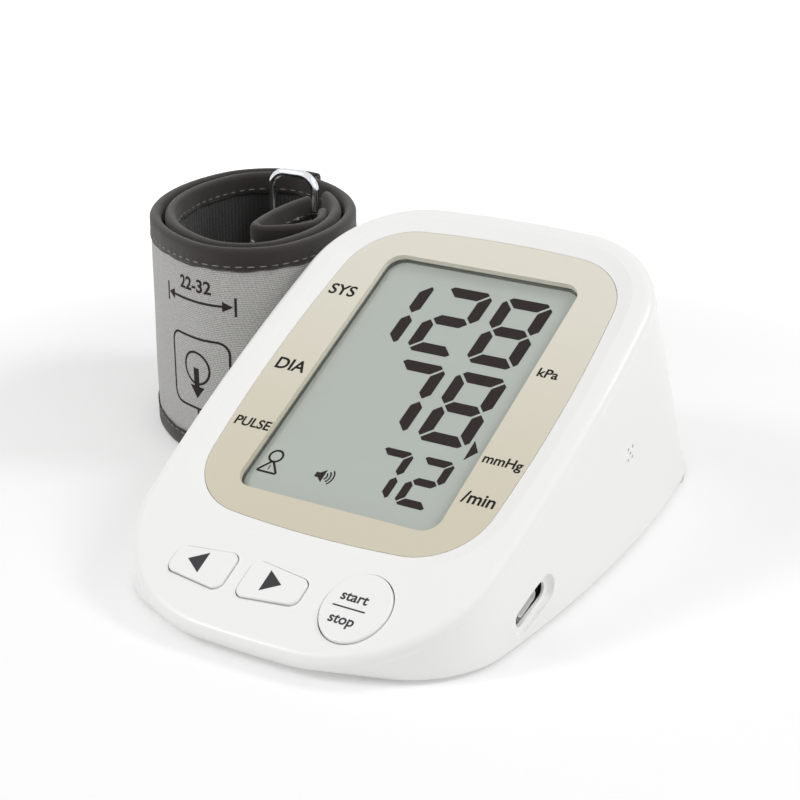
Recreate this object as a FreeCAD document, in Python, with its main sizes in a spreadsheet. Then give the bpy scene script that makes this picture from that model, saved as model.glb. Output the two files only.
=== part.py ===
import FreeCAD, Part
import math
import os
import re

import Sketcher
from FreeCAD import Placement, Rotation, Vector

# Blood pressure monitor with a rolled arm cuff standing beside it.
# Millimetres, +Z up, origin on the table under the middle of the monitor's base.
# The panel frame lies in the sloping face: x to the right, y up the slope, z out of the face,
# with its origin at the middle of the display window, level with the bezel.

# Driving dimensions
DIMS = {
    # sloping face and display
    "panel_tilt": 27.5,
    "window_width": 60,
    "window_length": 89,
    "window_corner": 5,
    "bezel_side": 13.6,
    "bezel_top": 11,
    "bezel_bottom": 9.4,
    "bezel_corner": 19,
    "bezel_bow": 420,
    "bezel_end_bow": 300,
    "bezel_thick": 1.6,
    "bezel_gap": 0.15,
    "window_land": 3,
    "window_thick": 1.0,
    "glass_thick": 2.0,
    "holder_thick": 2.4,
    "holder_margin": 1.8,
    "strip_width": 3,
    "fit_gap": 0.2,
    # top cover
    "dish_margin": 4.4,
    "dish_depth": 1.4,
    "rim_side": 10.2,
    "rim_back": 9.8,
    "button_field": 35.3,
    "lid_corner": 31,
    "lid_front_corner": 40,
    "side_bow": 640,
    "front_bow": 400,
    "back_bow": 350,
    "lid_depth": 3.6,
    "lid_plate": 2.2,
    "lid_rim": 2.6,
    "shoulder": 2.8,
    "shelf_margin": 2.2,
    "shelf_thick": 1.6,
    # lower case
    "foot_height": 1.2,
    "front_lip": 1.39,
    "side_flare": 1.0,
    "front_setback": 5.53,
    "back_flare": 42.93,
    "base_bow": 440,
    "base_bow_set": -5,
    "wall_lean": 0.3,
    "base_front_bow": 206,
    "base_back_bow": 350,
    "base_front_corner": 27.5,
    "base_rear_corner": 34,
    "case_wall": 2.2,
    "floor_thick": 2.2,
    # feet and fasteners
    "foot_radius": 5,
    "foot_sink": 0.5,
    "foot_inset_x": 12,
    "foot_inset_front": 33,
    "foot_inset_rear": 28,
    "post_radius": 4.2,
    "lid_boss_radius": 3.2,
    "post_inset_front_x": 13,
    "post_inset_front_y": 21,
    "rear_post_lap": 0.6,
    "post_inset_rear_y": 8.73,
    "front_post_height": 5,
    "rear_post_height": 54,
    "screw_radius": 1.5,
    "screw_length": 9,
    "screw_head_radius": 2.6,
    "screw_head_height": 2,
    "screw_clamp": 3,
    "thread_gap": 0.05,
    "boss_sink": 0.5,
    "board_boss_radius": 2.2,
    "board_screw_radius": 1,
    "board_screw_length": 4,
    "board_screw_head": 1.9,
    # buttons and switches
    "button_gap": 0.35,
    "button_proud": 0.7,
    "button_flange": 1.2,
    "flange_thick": 1,
    "button_round": 0.5,
    "button_travel": 0.6,
    "start_x": 23.2,
    "start_half_width": 8.8,
    "start_half_length": 10.2,
    "start_drop": 17.4,
    "arrow_middle_x": -11.2,
    "arrow_gap": 4.4,
    "arrow_length": 17.2,
    "arrow_inner_height": 11.8,
    "arrow_outer_height": 7.6,
    "arrow_corner": 2.4,
    "arrow_drop": 17.6,
    "stem_radius": 2,
    "switch_size": 6,
    "switch_height": 3.4,
    "plunger_radius": 1.6,
    "plunger_gap": 0.3,
    "plunger_proud": 1,
    "plunger_depth": 1.2,
    # boards
    "board_thick": 1.2,
    "board_rear_margin": 3,
    "board_side_margin": 16,
    "board_nose_side": 1,
    "board_nose_margin": 2.7,
    "board_nose_overlap": 5.5,
    "board_boss_side": 8.8,
    "board_boss_rear": 22.5,
    "board_boss_fore": 2.5,
    "chip_height": 1.2,
    "processor_size": 12,
    "processor_x": 14,
    "processor_y": -6,
    "driver_size": 8,
    "driver_x": -12,
    "driver_y": 4,
    "memory_size": 6,
    "memory_x": 2,
    "memory_y": -30,
    # battery box
    "cell_radius": 7.25,
    "cell_length": 50.5,
    "cell_pitch": 15.2,
    "cell_nub_radius": 2.7,
    "cell_nub_length": 1,
    "spring_room": 5,
    "contact_thick": 0.5,
    "contact_size": 10,
    "box_wall": 1.5,
    "box_back_margin": 20,
    "door_thick": 1.8,
    "door_margin": 0.6,
    "door_gap": 0.2,
    "tongue_width": 1.2,
    "tongue_thick": 0.8,
    "cell_gap": 0.4,
    # pump
    "pump_set": 38.8,
    "pump_gap": 0.8,
    "pump_head_radius": 13,
    "pump_cap_length": 5,
    "pump_plate_length": 2,
    "pump_head_length": 18,
    "pump_head_wall": 2,
    "motor_radius": 12,
    "motor_length": 30,
    "motor_wall": 1,
    "motor_cap_length": 2.5,
    "rotor_radius": 9,
    "rotor_length": 21,
    "shaft_radius": 1.2,
    "shaft_gap": 0.3,
    "crank_radius": 6,
    "crank_length": 4,
    "crank_throw": 3,
    "cushion_thick": 1.5,
    "cradle_thick": 3,
    "cradle_half_width": 10,
    # air line
    "tee_gap": 0.46,
    "tee_core_radius": 3,
    "tee_arm": 3,
    "nozzle_radius": 1.75,
    "nozzle_bore": 1,
    "nozzle_length": 3.4,
    "tube_radius": 2.8,
    "tube_bore": 1.8,
    "tube_rise": 3.2,
    "tube_bend": 12,
    "sensor_length": 9,
    "sensor_width": 8,
    "sensor_height": 4,
    "sensor_nozzle": 3,
    "socket_radius": 4.6,
    "socket_flange_radius": 7,
    "socket_flange_thick": 1.5,
    "socket_bore_radius": 2.2,
    "socket_bore_depth": 6,
    "socket_gap": 0.3,
    "seal_thick": 0.8,
    "socket_seat": 0.8,
    "socket_spout": 1.8,
    "valve_width": 11,
    "valve_depth": 14,
    "valve_height": 17,
    "valve_sheet": 1.5,
    "coil_radius": 4.6,
    "coil_bore": 2.4,
    "plug_radius": 2,
    "plug_travel": 1,
    # speaker and side port
    "speaker_set": 23.2,
    "speaker_z": 28.9,
    "speaker_radius": 7,
    "speaker_thick": 4,
    "speaker_ring_wall": 1.4,
    "speaker_depth": 6.5,
    "gasket_bore": 5,
    "sound_hole_radius": 0.55,
    "sound_hole_pitch": 1.5,
    "port_set": -31.2,
    "port_z": 8.6,
    "port_tilt": 17,
    "port_slot_length": 15,
    "port_slot_height": 4.4,
    "port_recess_length": 20.5,
    "port_recess_height": 7.6,
    "port_recess_depth": 0.9,
    "port_shell_length": 9,
    "port_shell_height": 3.2,
    "port_shell_depth": 7.4,
    "port_shell_wall": 0.35,
    "port_setback": 1.8,
    "tongue_tip": 0.7,
    "port_board_length": 15,
    "port_board_depth": 12,
    "port_rib_width": 6,
    # rolled cuff
    "cuff_x": -89,
    "cuff_set": 57.7,
    "cuff_turn": 31,
    "cuff_height": 67,
    "cuff_half_width": 33.4,
    "cuff_half_depth": 47.6,
    "cuff_thick": 2.6,
    "cuff_spacing": 2.0,
    "cuff_quarters": 8,
    "cuff_last_sweep": 67,
    "lining_thick": 1.0,
    "end_tape_share": 0.09,
    "hook_share": 0.8,
    "tail_thick": 2.4,
    "tail_drop": 1.2,
    "tail_low": 20,
    "tail_course": 232,
    "tail_run_radius": 80,
    "tail_run_sweep": 23,
    "tail_bend": 3.6,
    "tail_turn": 112,
    "tail_back_radius": 60,
    "tail_back_sweep": 6,
    "tail_gap": 0.6,
    "tail_rest_sweep": 10,
    "binding_height": 6.6,
    "binding_thick": 0.4,
    "ring_wire_radius": 1.4,
    "ring_width": 15.5,
    "ring_length": 58,
    "ring_corner": 5,
    "ring_lift": 13.5,
    "ring_swing": 40,
    "ring_onward": 2.6,
    "ring_inward": 3,
    "sleeve_radius": 3.2,
    "sleeve_gap": 0.35,
    "sleeve_length": 35,
    "cuff_port_radius": 3.2,
    "cuff_port_flange": 7,
    "cuff_port_length": 6,
    "cuff_port_height": 14,
}


def wall_at(item):
    """Half width of the case, half-way up its side wall, beside a piece."""
    base_drop = f"({item}_y - base_middle)*({item}_y - base_middle)/(2*base_bow)"
    lid_drop = f"({item}_set/cos(panel_tilt))*({item}_set/cos(panel_tilt))/(2*side_bow)"
    return f"(base_half - {base_drop} + lid_half - {lid_drop})/2"


# Sizes worked out from the driving dimensions
LAYOUT = {
    "bezel_half": "window_width/2 + bezel_side",
    "bezel_front": "-window_length/2 - bezel_bottom",
    "bezel_back": "window_length/2 + bezel_top",
    "lid_half": "bezel_half + rim_side",
    "lid_front": "bezel_front - button_field",
    "lid_back": "bezel_back + rim_back",
    "parting": "dish_depth - lid_depth",
    "plate_under": "dish_depth - lid_plate",
    "shelf_under": "-bezel_thick - shelf_thick",
    "glass_top": "-bezel_thick - window_thick",
    "holder_top": "glass_top - glass_thick",
    "board_top": "holder_top - holder_thick",
    "board_under": "board_top - board_thick",
    "panel_z": "foot_height + front_lip - lid_front*sin(panel_tilt) - parting*cos(panel_tilt)",
    "edge_front": "lid_front*cos(panel_tilt) - parting*sin(panel_tilt) + front_setback",
    "edge_back": "lid_back*cos(panel_tilt) - parting*sin(panel_tilt) + back_flare",
    "panel_y": "-(edge_front + edge_back)/2",
    "lid_back_y": "panel_y + edge_back - back_flare",
    "base_half": "lid_half + side_flare",
    "base_middle": "panel_y + base_bow_set",
    "base_back": "(edge_back - edge_front)/2",
    "base_front": "-base_back",
    "floor_top": "foot_height + floor_thick",
    "pump_y": "panel_y + pump_set",
    "speaker_y": "panel_y + speaker_set",
    "port_y": "panel_y + port_set",
    "front_post_x": "lid_half - post_inset_front_x",
    "front_post_y": "base_front + post_inset_front_y",
    "rear_post_y": "lid_back_y - post_inset_rear_y",
    "front_post_top": "floor_top + front_post_height",
    "rear_post_top": "floor_top + rear_post_height",
    "button_top": "dish_depth + button_proud",
    "flange_under": "plate_under - flange_thick",
    "start_y": "bezel_front - start_drop",
    "arrow_y": "bezel_front - arrow_drop",
    "board_back": "window_length/2 + board_rear_margin",
    "board_half_width": "window_width/2 + board_side_margin",
    "board_nose_half_width": "start_x + start_half_width + board_nose_side",
    "board_nose_front": "board_nose_margin - start_y",
    "board_nose_back": "window_length/2 + board_nose_overlap",
    "board_boss_x": "window_width/2 + board_boss_side",
    "board_boss_back": "window_length/2 - board_boss_rear",
    "board_boss_front": "window_length/2 - board_boss_fore",
    "switch_top": "board_top + switch_height",
    "plunger_top": "switch_top + plunger_proud",
    "box_back": "base_back - box_back_margin",
    "box_front": "box_back - cell_length - spring_room",
    "box_half": "2*cell_pitch + door_margin/2",
    "rear_post_x": "box_half + box_wall + post_radius - rear_post_lap",
    "door_half": "box_half + door_margin",
    "door_top": "foot_height + door_thick",
    "cell_z": "door_top + cell_gap + cell_radius",
    "box_roof": "cell_z + cell_radius + cell_gap",
    "box_top": "box_roof + box_wall",
    "pump_z": "box_top + cushion_thick + pump_head_radius",
    "socket_wall": wall_at("pump") + " - wall_lean",
    "seal_x": "case_wall - socket_wall + socket_seat",
    "flange_x": "seal_x + seal_thick",
    "tee_reach": "tee_core_radius + tee_arm",
    "tee_x": "flange_x + socket_flange_thick + socket_spout + tee_gap + tee_reach",
    "pump_left": "tee_x + tee_reach + pump_gap + nozzle_length",
    "plate_x": "pump_left + pump_cap_length",
    "diaphragm_x": "plate_x + pump_plate_length",
    "head_x": "diaphragm_x + pump_plate_length",
    "motor_x": "head_x + pump_head_length",
    "motor_end": "motor_x + motor_length",
    "valve_top": "floor_top + valve_height",
    "speaker_wall": wall_at("speaker") + " - wall_lean",
    "port_wall": wall_at("port"),
    "cuff_pitch": "cuff_thick + cuff_spacing",
    "cuff_y": "panel_y + cuff_set",
}

OUTLINE_RADII = {
    "bezel": ("bezel_bow", "bezel_end_bow", "bezel_end_bow", "bezel_corner", "bezel_corner"),
    "lid": ("side_bow", "front_bow", "back_bow", "lid_front_corner", "lid_corner"),
    "base": ("base_bow", "base_front_bow", "base_back_bow", "base_front_corner", "base_rear_corner"),
}
WIDEST_AT = {"bezel": "0", "lid": "0", "base": "base_middle"}
TURN_TO = {
    "z": Rotation(),
    "x": Rotation(Vector(0, 1, 0), 90),
    "y": Rotation(Vector(1, 0, 0), -90),
}
SIDES = (-1, 1)

doc = FreeCAD.newDocument("blood_pressure_monitor")
nodes = []


# Sheets and expressions

def bound(text, own_sheet=""):
    """Name the sheet in front of each size in an expression."""
    def with_sheet(match):
        word = match.group(0)
        if word in DIMS:
            return "dims." + word
        if word in LAYOUT and own_sheet != "layout":
            return "layout." + word
        return word
    return re.sub(r"[A-Za-z_]\w*", with_sheet, str(text))


def fill_sheet(name, cells):
    sheet = doc.addObject("Spreadsheet::Sheet", name)
    for row, (alias, content) in enumerate(cells.items(), start=1):
        sheet.set(f"A{row}", alias)
        sheet.set(f"B{row}", str(content))
        sheet.setAlias(f"B{row}", alias)
    sheet.recompute()
    return sheet


dims = fill_sheet("dims", DIMS)
layout = fill_sheet("layout", {name: "=" + bound(text, "layout") for name, text in LAYOUT.items()})
scratch = doc.addObject("Spreadsheet::Sheet", "scratch")
doc.recompute()


def worth(text):
    """Number that an expression of sizes stands for."""
    scratch.set("A1", "=" + bound(text))
    scratch.recompute()
    return float(scratch.get("A1"))


def bind(obj, **sizes):
    for name, text in sizes.items():
        obj.setExpression(name, bound(text))


def place(obj, x=0, y=0, z=0, turn=Rotation()):
    obj.Placement = Placement(Vector(), turn)
    for axis, text in zip("xyz", (x, y, z)):
        obj.setExpression(f"Placement.Base.{axis}", bound(text))


def on_panel(obj, x=0, y=0, h=0):
    """Put an object's own frame at a point of the sloping face."""
    place(obj, x,
          f"panel_y + ({y})*cos(panel_tilt) - ({h})*sin(panel_tilt)",
          f"panel_z + ({y})*sin(panel_tilt) + ({h})*cos(panel_tilt)",
          Rotation(Vector(1, 0, 0), 1))
    obj.setExpression("Placement.Rotation.Angle", bound("panel_tilt"))
    return obj


# Plain solids and booleans

def box(name, length, width, height, x=0, y=0, z=0):
    """Box centred on x and y that stands on z."""
    solid = doc.addObject("Part::Box", name)
    bind(solid, Length=length, Width=width, Height=height)
    place(solid, f"({x}) - ({length})/2", f"({y}) - ({width})/2", z)
    return solid


def panel_box(name, length, width, height, x=0, y=0, h=0):
    solid = doc.addObject("Part::Box", name)
    bind(solid, Length=length, Width=width, Height=height)
    return on_panel(solid, f"({x}) - ({length})/2", f"({y}) - ({width})/2", h)


def cylinder(name, radius, height, x=0, y=0, z=0, axis="z"):
    """Cylinder that starts at a point and runs along an axis."""
    solid = doc.addObject("Part::Cylinder", name)
    bind(solid, Radius=radius, Height=height)
    place(solid, x, y, z, TURN_TO[axis])
    return solid


def panel_cylinder(name, radius, height, x=0, y=0, h=0):
    solid = doc.addObject("Part::Cylinder", name)
    bind(solid, Radius=radius, Height=height)
    return on_panel(solid, x, y, h)


def fuse(name, *solids):
    joined = doc.addObject("Part::MultiFuse", name)
    joined.Shapes = list(solids)
    return joined


def cut(name, base, *tools):
    carved = doc.addObject("Part::Cut", name)
    carved.Base = base
    carved.Tool = tools[0] if len(tools) == 1 else fuse(name + "_cutters", *tools)
    return carved


def common(name, base, tool):
    shared = doc.addObject("Part::Common", name)
    shared.Base = base
    shared.Tool = tool
    return shared


def group(name, solids):
    bundle = doc.addObject("Part::Compound", name)
    bundle.Links = list(solids)
    return bundle


def node(label, obj):
    """Name a finished piece and keep it for writing."""
    obj.Label = label
    nodes.append(obj)
    return obj


def tube(name, radius, bore, length, x, y, z, axis="z"):
    return cut(name, cylinder(name + "_outside", radius, length, x, y, z, axis),
               cylinder(name + "_bore", bore, length, x, y, z, axis))


# Sketches

def fix_point(sketch, item, vertex, x, y):
    """Hold a point of a sketch at its distances from the sketch's origin."""
    for kind, text in (("DistanceX", x), ("DistanceY", y)):
        amount = worth(text)
        if amount < 0:
            ends = (item, vertex, -1, 1)
            text = f"-({text})"
        else:
            ends = (-1, 1, item, vertex)
        index = sketch.addConstraint(Sketcher.Constraint(kind, *ends, abs(amount)))
        sketch.setExpression(f"Constraints[{index}]", bound(text))


def set_radius(sketch, item, text):
    index = sketch.addConstraint(Sketcher.Constraint("Radius", item, worth(text)))
    sketch.setExpression(f"Constraints[{index}]", bound(text))


def meeting_point(first, first_radius, second, second_radius, upward):
    """Where two circles cross on the right-hand side, at the back or at the front."""
    line = second - first
    gap = line.Length
    along = (gap ** 2 + first_radius ** 2 - second_radius ** 2) / (2 * gap)
    across = math.sqrt(first_radius ** 2 - along ** 2)
    middle = first + line * (along / gap)
    normal = Vector(-line.y, line.x, 0) * (across / gap)
    points = [middle + normal, middle - normal]
    return max(points, key=lambda p: p.x + (p.y if upward else -p.y))


def bowed_outline(sketch, name, inset="0"):
    """Rounded rectangle with gently bowed sides: four long arcs and four corner arcs."""
    half, front, back = f"{name}_half", f"{name}_front", f"{name}_back"
    widest = WIDEST_AT[name]
    side, front_bow, back_bow, front_corner, rear_corner = OUTLINE_RADII[name]
    right_c = Vector(worth(f"{half} - {side}"), worth(widest), 0)
    front_c = Vector(0, worth(f"{front} + {front_bow}"), 0)
    back_c = Vector(0, worth(f"{back} - {back_bow}"), 0)
    low = meeting_point(right_c, worth(f"{side} - {front_corner}"),
                        front_c, worth(f"{front_bow} - {front_corner}"), False)
    high = meeting_point(right_c, worth(f"{side} - {rear_corner}"),
                         back_c, worth(f"{back_bow} - {rear_corner}"), True)

    def mirrored(point):
        return Vector(-point.x, point.y, 0)

    def heading(start, end):
        return math.atan2(end.y - start.y, end.x - start.x)

    turns = [heading(front_c, low), heading(right_c, low), heading(right_c, high), heading(back_c, high)]
    turns += [math.pi - turn for turn in reversed(turns)]
    centres = [low, right_c, high, back_c, mirrored(high), mirrored(right_c), mirrored(low), front_c]
    radii = [front_corner, side, rear_corner, back_bow, rear_corner, side, front_corner, front_bow]
    ends = turns[1:] + [turns[0] + 2 * math.pi]
    for centre, radius, start, end in zip(centres, radii, turns, ends):
        circle = Part.Circle(centre, Vector(0, 0, 1), worth(f"{radius} - ({inset})"))
        sketch.addGeometry(Part.ArcOfCircle(circle, start, end))
    count = len(centres)
    for item in range(count):
        sketch.addConstraint(Sketcher.Constraint("Tangent", item, 2, (item + 1) % count, 1))
    for item, radius in enumerate(radii):
        set_radius(sketch, item, f"{radius} - ({inset})")
    fix_point(sketch, 1, 3, f"{half} - {side}", widest)
    fix_point(sketch, 3, 3, "0", f"{back} - {back_bow}")
    fix_point(sketch, 5, 3, f"{side} - {half}", widest)
    fix_point(sketch, 7, 3, "0", f"{front} + {front_bow}")


def polygon(sketch, points):
    """Closed outline of straight edges through points given as expressions."""
    spots = [Vector(worth(x), worth(y), 0) for x, y in points]
    count = len(spots)
    for item in range(count):
        sketch.addGeometry(Part.LineSegment(spots[item], spots[(item + 1) % count]))
    for item in range(count):
        sketch.addConstraint(Sketcher.Constraint("Coincident", item, 2, (item + 1) % count, 1))
    for item, (x, y) in enumerate(points):
        fix_point(sketch, item, 1, x, y)


def rectangle_points(length, width, x="0", y="0"):
    signs = ((-1, -1), (1, -1), (1, 1), (-1, 1))
    return [(f"({x}) + {a}*({length})/2", f"({y}) + {b}*({width})/2") for a, b in signs]


def free_outline(name, shape, inset="0"):
    sketch = doc.addObject("Sketcher::SketchObject", name)
    bowed_outline(sketch, shape, inset)
    return sketch


# Bodies built from features

def sketch_on(body, name, z="0"):
    sketch = body.newObject("Sketcher::SketchObject", name)
    plane = next(item for item in body.Origin.OriginFeatures if item.Role == "XY_Plane")
    sketch.AttachmentSupport = (plane, [""])
    sketch.MapMode = "FlatFace"
    sketch.setExpression("AttachmentOffset.Base.z", bound(z))
    return sketch


def pad(body, sketch, length):
    feature = body.newObject("PartDesign::Pad", sketch.Name + "_pad")
    feature.Profile = sketch
    bind(feature, Length=length)
    doc.recompute()
    return feature


def pocket(body, sketch, depth, upward=False):
    before = body.Shape.Volume
    feature = body.newObject("PartDesign::Pocket", sketch.Name + "_pocket")
    feature.Profile = sketch
    feature.Reversed = upward
    bind(feature, Length=depth)
    doc.recompute()
    if body.Shape.Volume >= before:
        raise RuntimeError(f"{sketch.Name} removes nothing")
    return feature


def round_edges(body, feature, name, radius, wanted):
    """Fillet those edges of a body's last feature for which wanted(edge) is true."""
    chosen = [f"Edge{i}" for i, edge in enumerate(feature.Shape.Edges, start=1) if wanted(edge)]
    fillet = body.newObject("PartDesign::Fillet", name)
    fillet.Base = (feature, chosen)
    bind(fillet, Radius=radius)
    doc.recompute()
    return fillet


def at_height(height):
    def wanted(edge):
        return all(abs(vertex.Z - height) < 1e-5 for vertex in edge.Vertexes)
    return wanted


def is_upright(edge):
    return abs(edge.tangentAt(edge.FirstParameter).z) > 0.999


def rounded_plate(name, length, width, corner, thick, y="0", h="0"):
    """Flat plate of the sloping face with rounded corners."""
    body = doc.addObject("PartDesign::Body", name)
    sketch = sketch_on(body, name + "_outline")
    polygon(sketch, rectangle_points(length, width))
    round_edges(body, pad(body, sketch, thick), name + "_corners", corner, is_upright)
    return on_panel(body, 0, y, h)


def arrow_points(side, grow):
    """Tapered key beside the middle line of the two keys: side -1 points left, 1 points right."""
    inner = f"arrow_middle_x + {side}*(arrow_gap/2 - ({grow}))"
    outer = f"arrow_middle_x + {side}*(arrow_gap/2 + arrow_length + ({grow}))"
    inner_half = f"(arrow_inner_height/2 + ({grow}))"
    outer_half = f"(arrow_outer_height/2 + ({grow}))"
    points = [(inner, f"arrow_y - {inner_half}"), (outer, f"arrow_y - {outer_half}"),
              (outer, f"arrow_y + {outer_half}"), (inner, f"arrow_y + {inner_half}")]
    return points if side > 0 else points[::-1]


def arrow_prism(name, side, grow, bottom, height, top_round=""):
    body = doc.addObject("PartDesign::Body", name)
    sketch = sketch_on(body, name + "_outline", bottom)
    polygon(sketch, arrow_points(side, grow))
    solid = round_edges(body, pad(body, sketch, height), name + "_corners",
                        f"arrow_corner + ({grow})", is_upright)
    if top_round:
        round_edges(body, solid, name + "_edge", top_round, at_height(worth(f"({bottom}) + ({height})")))
    return on_panel(body)


def oval_prism(name, grow, bottom, height, top_round=""):
    """Oval start key: its long axis runs up the slope."""
    body = doc.addObject("PartDesign::Body", name)
    sketch = sketch_on(body, name + "_outline", bottom)
    centre = Vector(worth("start_x"), worth("start_y"), 0)
    tall = worth(f"start_half_length + ({grow})")
    wide = worth(f"start_half_width + ({grow})")
    sketch.addGeometry(Part.Ellipse(centre + Vector(0, tall, 0), centre + Vector(wide, 0, 0), centre))
    sketch.exposeInternalGeometry(0)
    fix_point(sketch, 0, 3, "start_x", "start_y")
    lines = [i for i, item in enumerate(sketch.Geometry) if isinstance(item, Part.LineSegment)]
    sketch.addConstraint(Sketcher.Constraint("Vertical", lines[0]))
    for line, text in zip(lines, (f"2*(start_half_length + ({grow}))", f"2*(start_half_width + ({grow}))")):
        index = sketch.addConstraint(Sketcher.Constraint("Distance", line, worth(text)))
        sketch.setExpression(f"Constraints[{index}]", bound(text))
    solid = pad(body, sketch, height)
    if top_round:
        round_edges(body, solid, name + "_edge", top_round, at_height(worth(f"({bottom}) + ({height})")))
    return on_panel(body)


# Display stack

def make_bezel():
    body = doc.addObject("PartDesign::Body", "bezel_plate")
    outline = sketch_on(body, "bezel_outline", "-bezel_thick")
    bowed_outline(outline, "bezel")
    pad(body, outline, "bezel_thick")
    on_panel(body)
    opening = rounded_plate("bezel_opening", "window_width", "window_length", "window_corner",
                            "3*bezel_thick", "0", "-2*bezel_thick")
    node("display_bezel", cut("bezel", body, opening))


def make_display():
    length = "window_length + 2*window_land"
    width = "window_width + 2*window_land"
    node("display_window", rounded_plate("window_plate", width, length, "window_land",
                                         "window_thick", "0", "glass_top"))
    node("lcd_panel", rounded_plate("lcd_glass", width, length, "window_land",
                                    "glass_thick", "0", "holder_top"))
    frame = panel_box("holder_frame", f"{width} + 2*holder_margin", f"{length} + 2*holder_margin",
                      "holder_thick", 0, 0, "board_top")
    hollow = panel_box("holder_hollow", "window_width - 2*window_land",
                       "window_length - 2*window_land - 2*strip_width",
                       "holder_thick", 0, 0, "board_top")
    strip_y = "(window_length/2 - strip_width/2)"
    slots = [panel_box("strip_slot", "window_width + 2*fit_gap", "strip_width + 2*fit_gap",
                       "holder_thick", 0, f"{side}*{strip_y}", "board_top") for side in SIDES]
    node("lcd_holder", cut("holder", frame, hollow, *slots))
    strips = [panel_box("contact_strip", "window_width", "strip_width", "holder_thick",
                        0, f"{side}*{strip_y}", "board_top") for side in SIDES]
    node("display_contact_strips", group("contact_strips", strips))


# Top cover

def button_prisms(kind, grow, bottom, height, top_round=""):
    """The three keys' outlines as prisms, grown by a margin."""
    return {
        "left_arrow": arrow_prism(kind + "_left", -1, grow, bottom, height, top_round),
        "right_arrow": arrow_prism(kind + "_right", 1, grow, bottom, height, top_round),
        "start_stop": oval_prism(kind + "_start", grow, bottom, height, top_round),
    }


def make_top_cover():
    body = doc.addObject("PartDesign::Body", "lid_shell")
    edge = sketch_on(body, "lid_edge", "parting")
    bowed_outline(edge, "lid")
    slab = pad(body, edge, "lid_depth")
    round_edges(body, slab, "lid_shoulder", "shoulder", at_height(worth("dish_depth")))
    hollow = sketch_on(body, "lid_hollow", "parting")
    bowed_outline(hollow, "lid", "lid_rim")
    pocket(body, hollow, "lid_depth - lid_plate", upward=True)
    shelf = sketch_on(body, "bezel_shelf", "shelf_under")
    bowed_outline(shelf, "bezel", "-shelf_margin")
    pad(body, shelf, "plate_under - shelf_under")
    recess = sketch_on(body, "bezel_recess", "dish_depth")
    bowed_outline(recess, "bezel", "-bezel_gap")
    pocket(body, recess, "dish_depth + bezel_thick")
    crest = sketch_on(body, "dish_crest", "dish_depth")
    bowed_outline(crest, "bezel", "-dish_margin")
    foot = sketch_on(body, "dish_foot", "0")
    bowed_outline(foot, "bezel", "-bezel_gap")
    dish = body.newObject("PartDesign::SubtractiveLoft", "dish")
    dish.Profile = crest
    dish.Sections = [foot]
    dish.Ruled = True
    doc.recompute()
    on_panel(body)

    board_bosses = [
        panel_cylinder("board_boss", "board_boss_radius", "shelf_under - board_top + boss_sink",
                       f"{side}*board_boss_x", y, "board_top")
        for side in SIDES for y in ("board_boss_back", "-board_boss_front")]
    columns = [
        cylinder("lid_boss", "lid_boss_radius", f"panel_z + lid_back - {where}_post_top",
                 f"{side}*{where}_post_x", f"{where}_post_y", f"{where}_post_top")
        for side in SIDES for where in ("front", "rear")]
    below_plate = panel_box("below_plate", "2*lid_half", "lid_back - lid_front", "panel_z", 0,
                            "(lid_back + lid_front)/2", "plate_under + boss_sink - panel_z")
    bosses = common("lid_bosses", fuse("lid_columns", *columns), below_plate)
    window_hole = rounded_plate("window_hole", "window_width + 2*window_land + 2*fit_gap",
                                "window_length + 2*window_land + 2*fit_gap", "window_land",
                                "lid_depth + shelf_thick", "0", "shelf_under - shelf_thick")
    key_holes = button_prisms("key_hole", "button_gap", "plate_under - lid_plate", "3*lid_plate")
    thread_depth = "(screw_length - screw_clamp + boss_sink)"
    threads = [
        cylinder("lid_thread", "screw_radius + thread_gap", thread_depth,
                 f"{side}*{where}_post_x", f"{where}_post_y", f"{where}_post_top")
        for side in SIDES for where in ("front", "rear")]
    board_threads = [
        panel_cylinder("board_thread", "board_screw_radius + thread_gap",
                       "board_screw_length - board_thick + boss_sink/2",
                       f"{side}*board_boss_x", y, "board_top")
        for side in SIDES for y in ("board_boss_back", "-board_boss_front")]
    whole = fuse("lid_whole", body, bosses, *board_bosses)
    node("top_cover", cut("lid", whole, window_hole, *key_holes.values(), *threads, *board_threads))


# Lower case

def case_solid(name, inset, low, high):
    """Solid between the base outline on a level and the parting edge of the sloping face."""
    base = free_outline(name + "_base", "base", inset)
    place(base, 0, 0, low)
    edge = free_outline(name + "_edge", "lid", inset)
    on_panel(edge, 0, 0, high)
    solid = doc.addObject("Part::Loft", name)
    solid.Sections = [base, edge]
    solid.Solid = True
    solid.Ruled = True
    return solid


def port_frame(obj, depth):
    """Stand an object on its edge in the right-hand wall, turned with the side port."""
    place(obj, f"port_wall - ({depth})", "port_y", "port_z", Rotation(Vector(1, 0, 0), 1))
    obj.setExpression("Placement.Rotation.Angle", bound("port_tilt"))
    return obj


def port_block(name, length, height, depth, x="0", z="0"):
    """Block with round ends that lies along the side port and runs out through the wall."""
    end_y = f"(({length}) - ({height}))/2"
    parts = [box(name + "_middle", depth, f"({length}) - ({height})", height, f"({x}) + ({depth})/2", "0",
                 f"({z}) - ({height})/2")]
    parts += [cylinder(name + "_end", f"({height})/2", depth, x, f"{side}*{end_y}", z, "x")
              for side in SIDES]
    return fuse(name, *parts)


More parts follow.
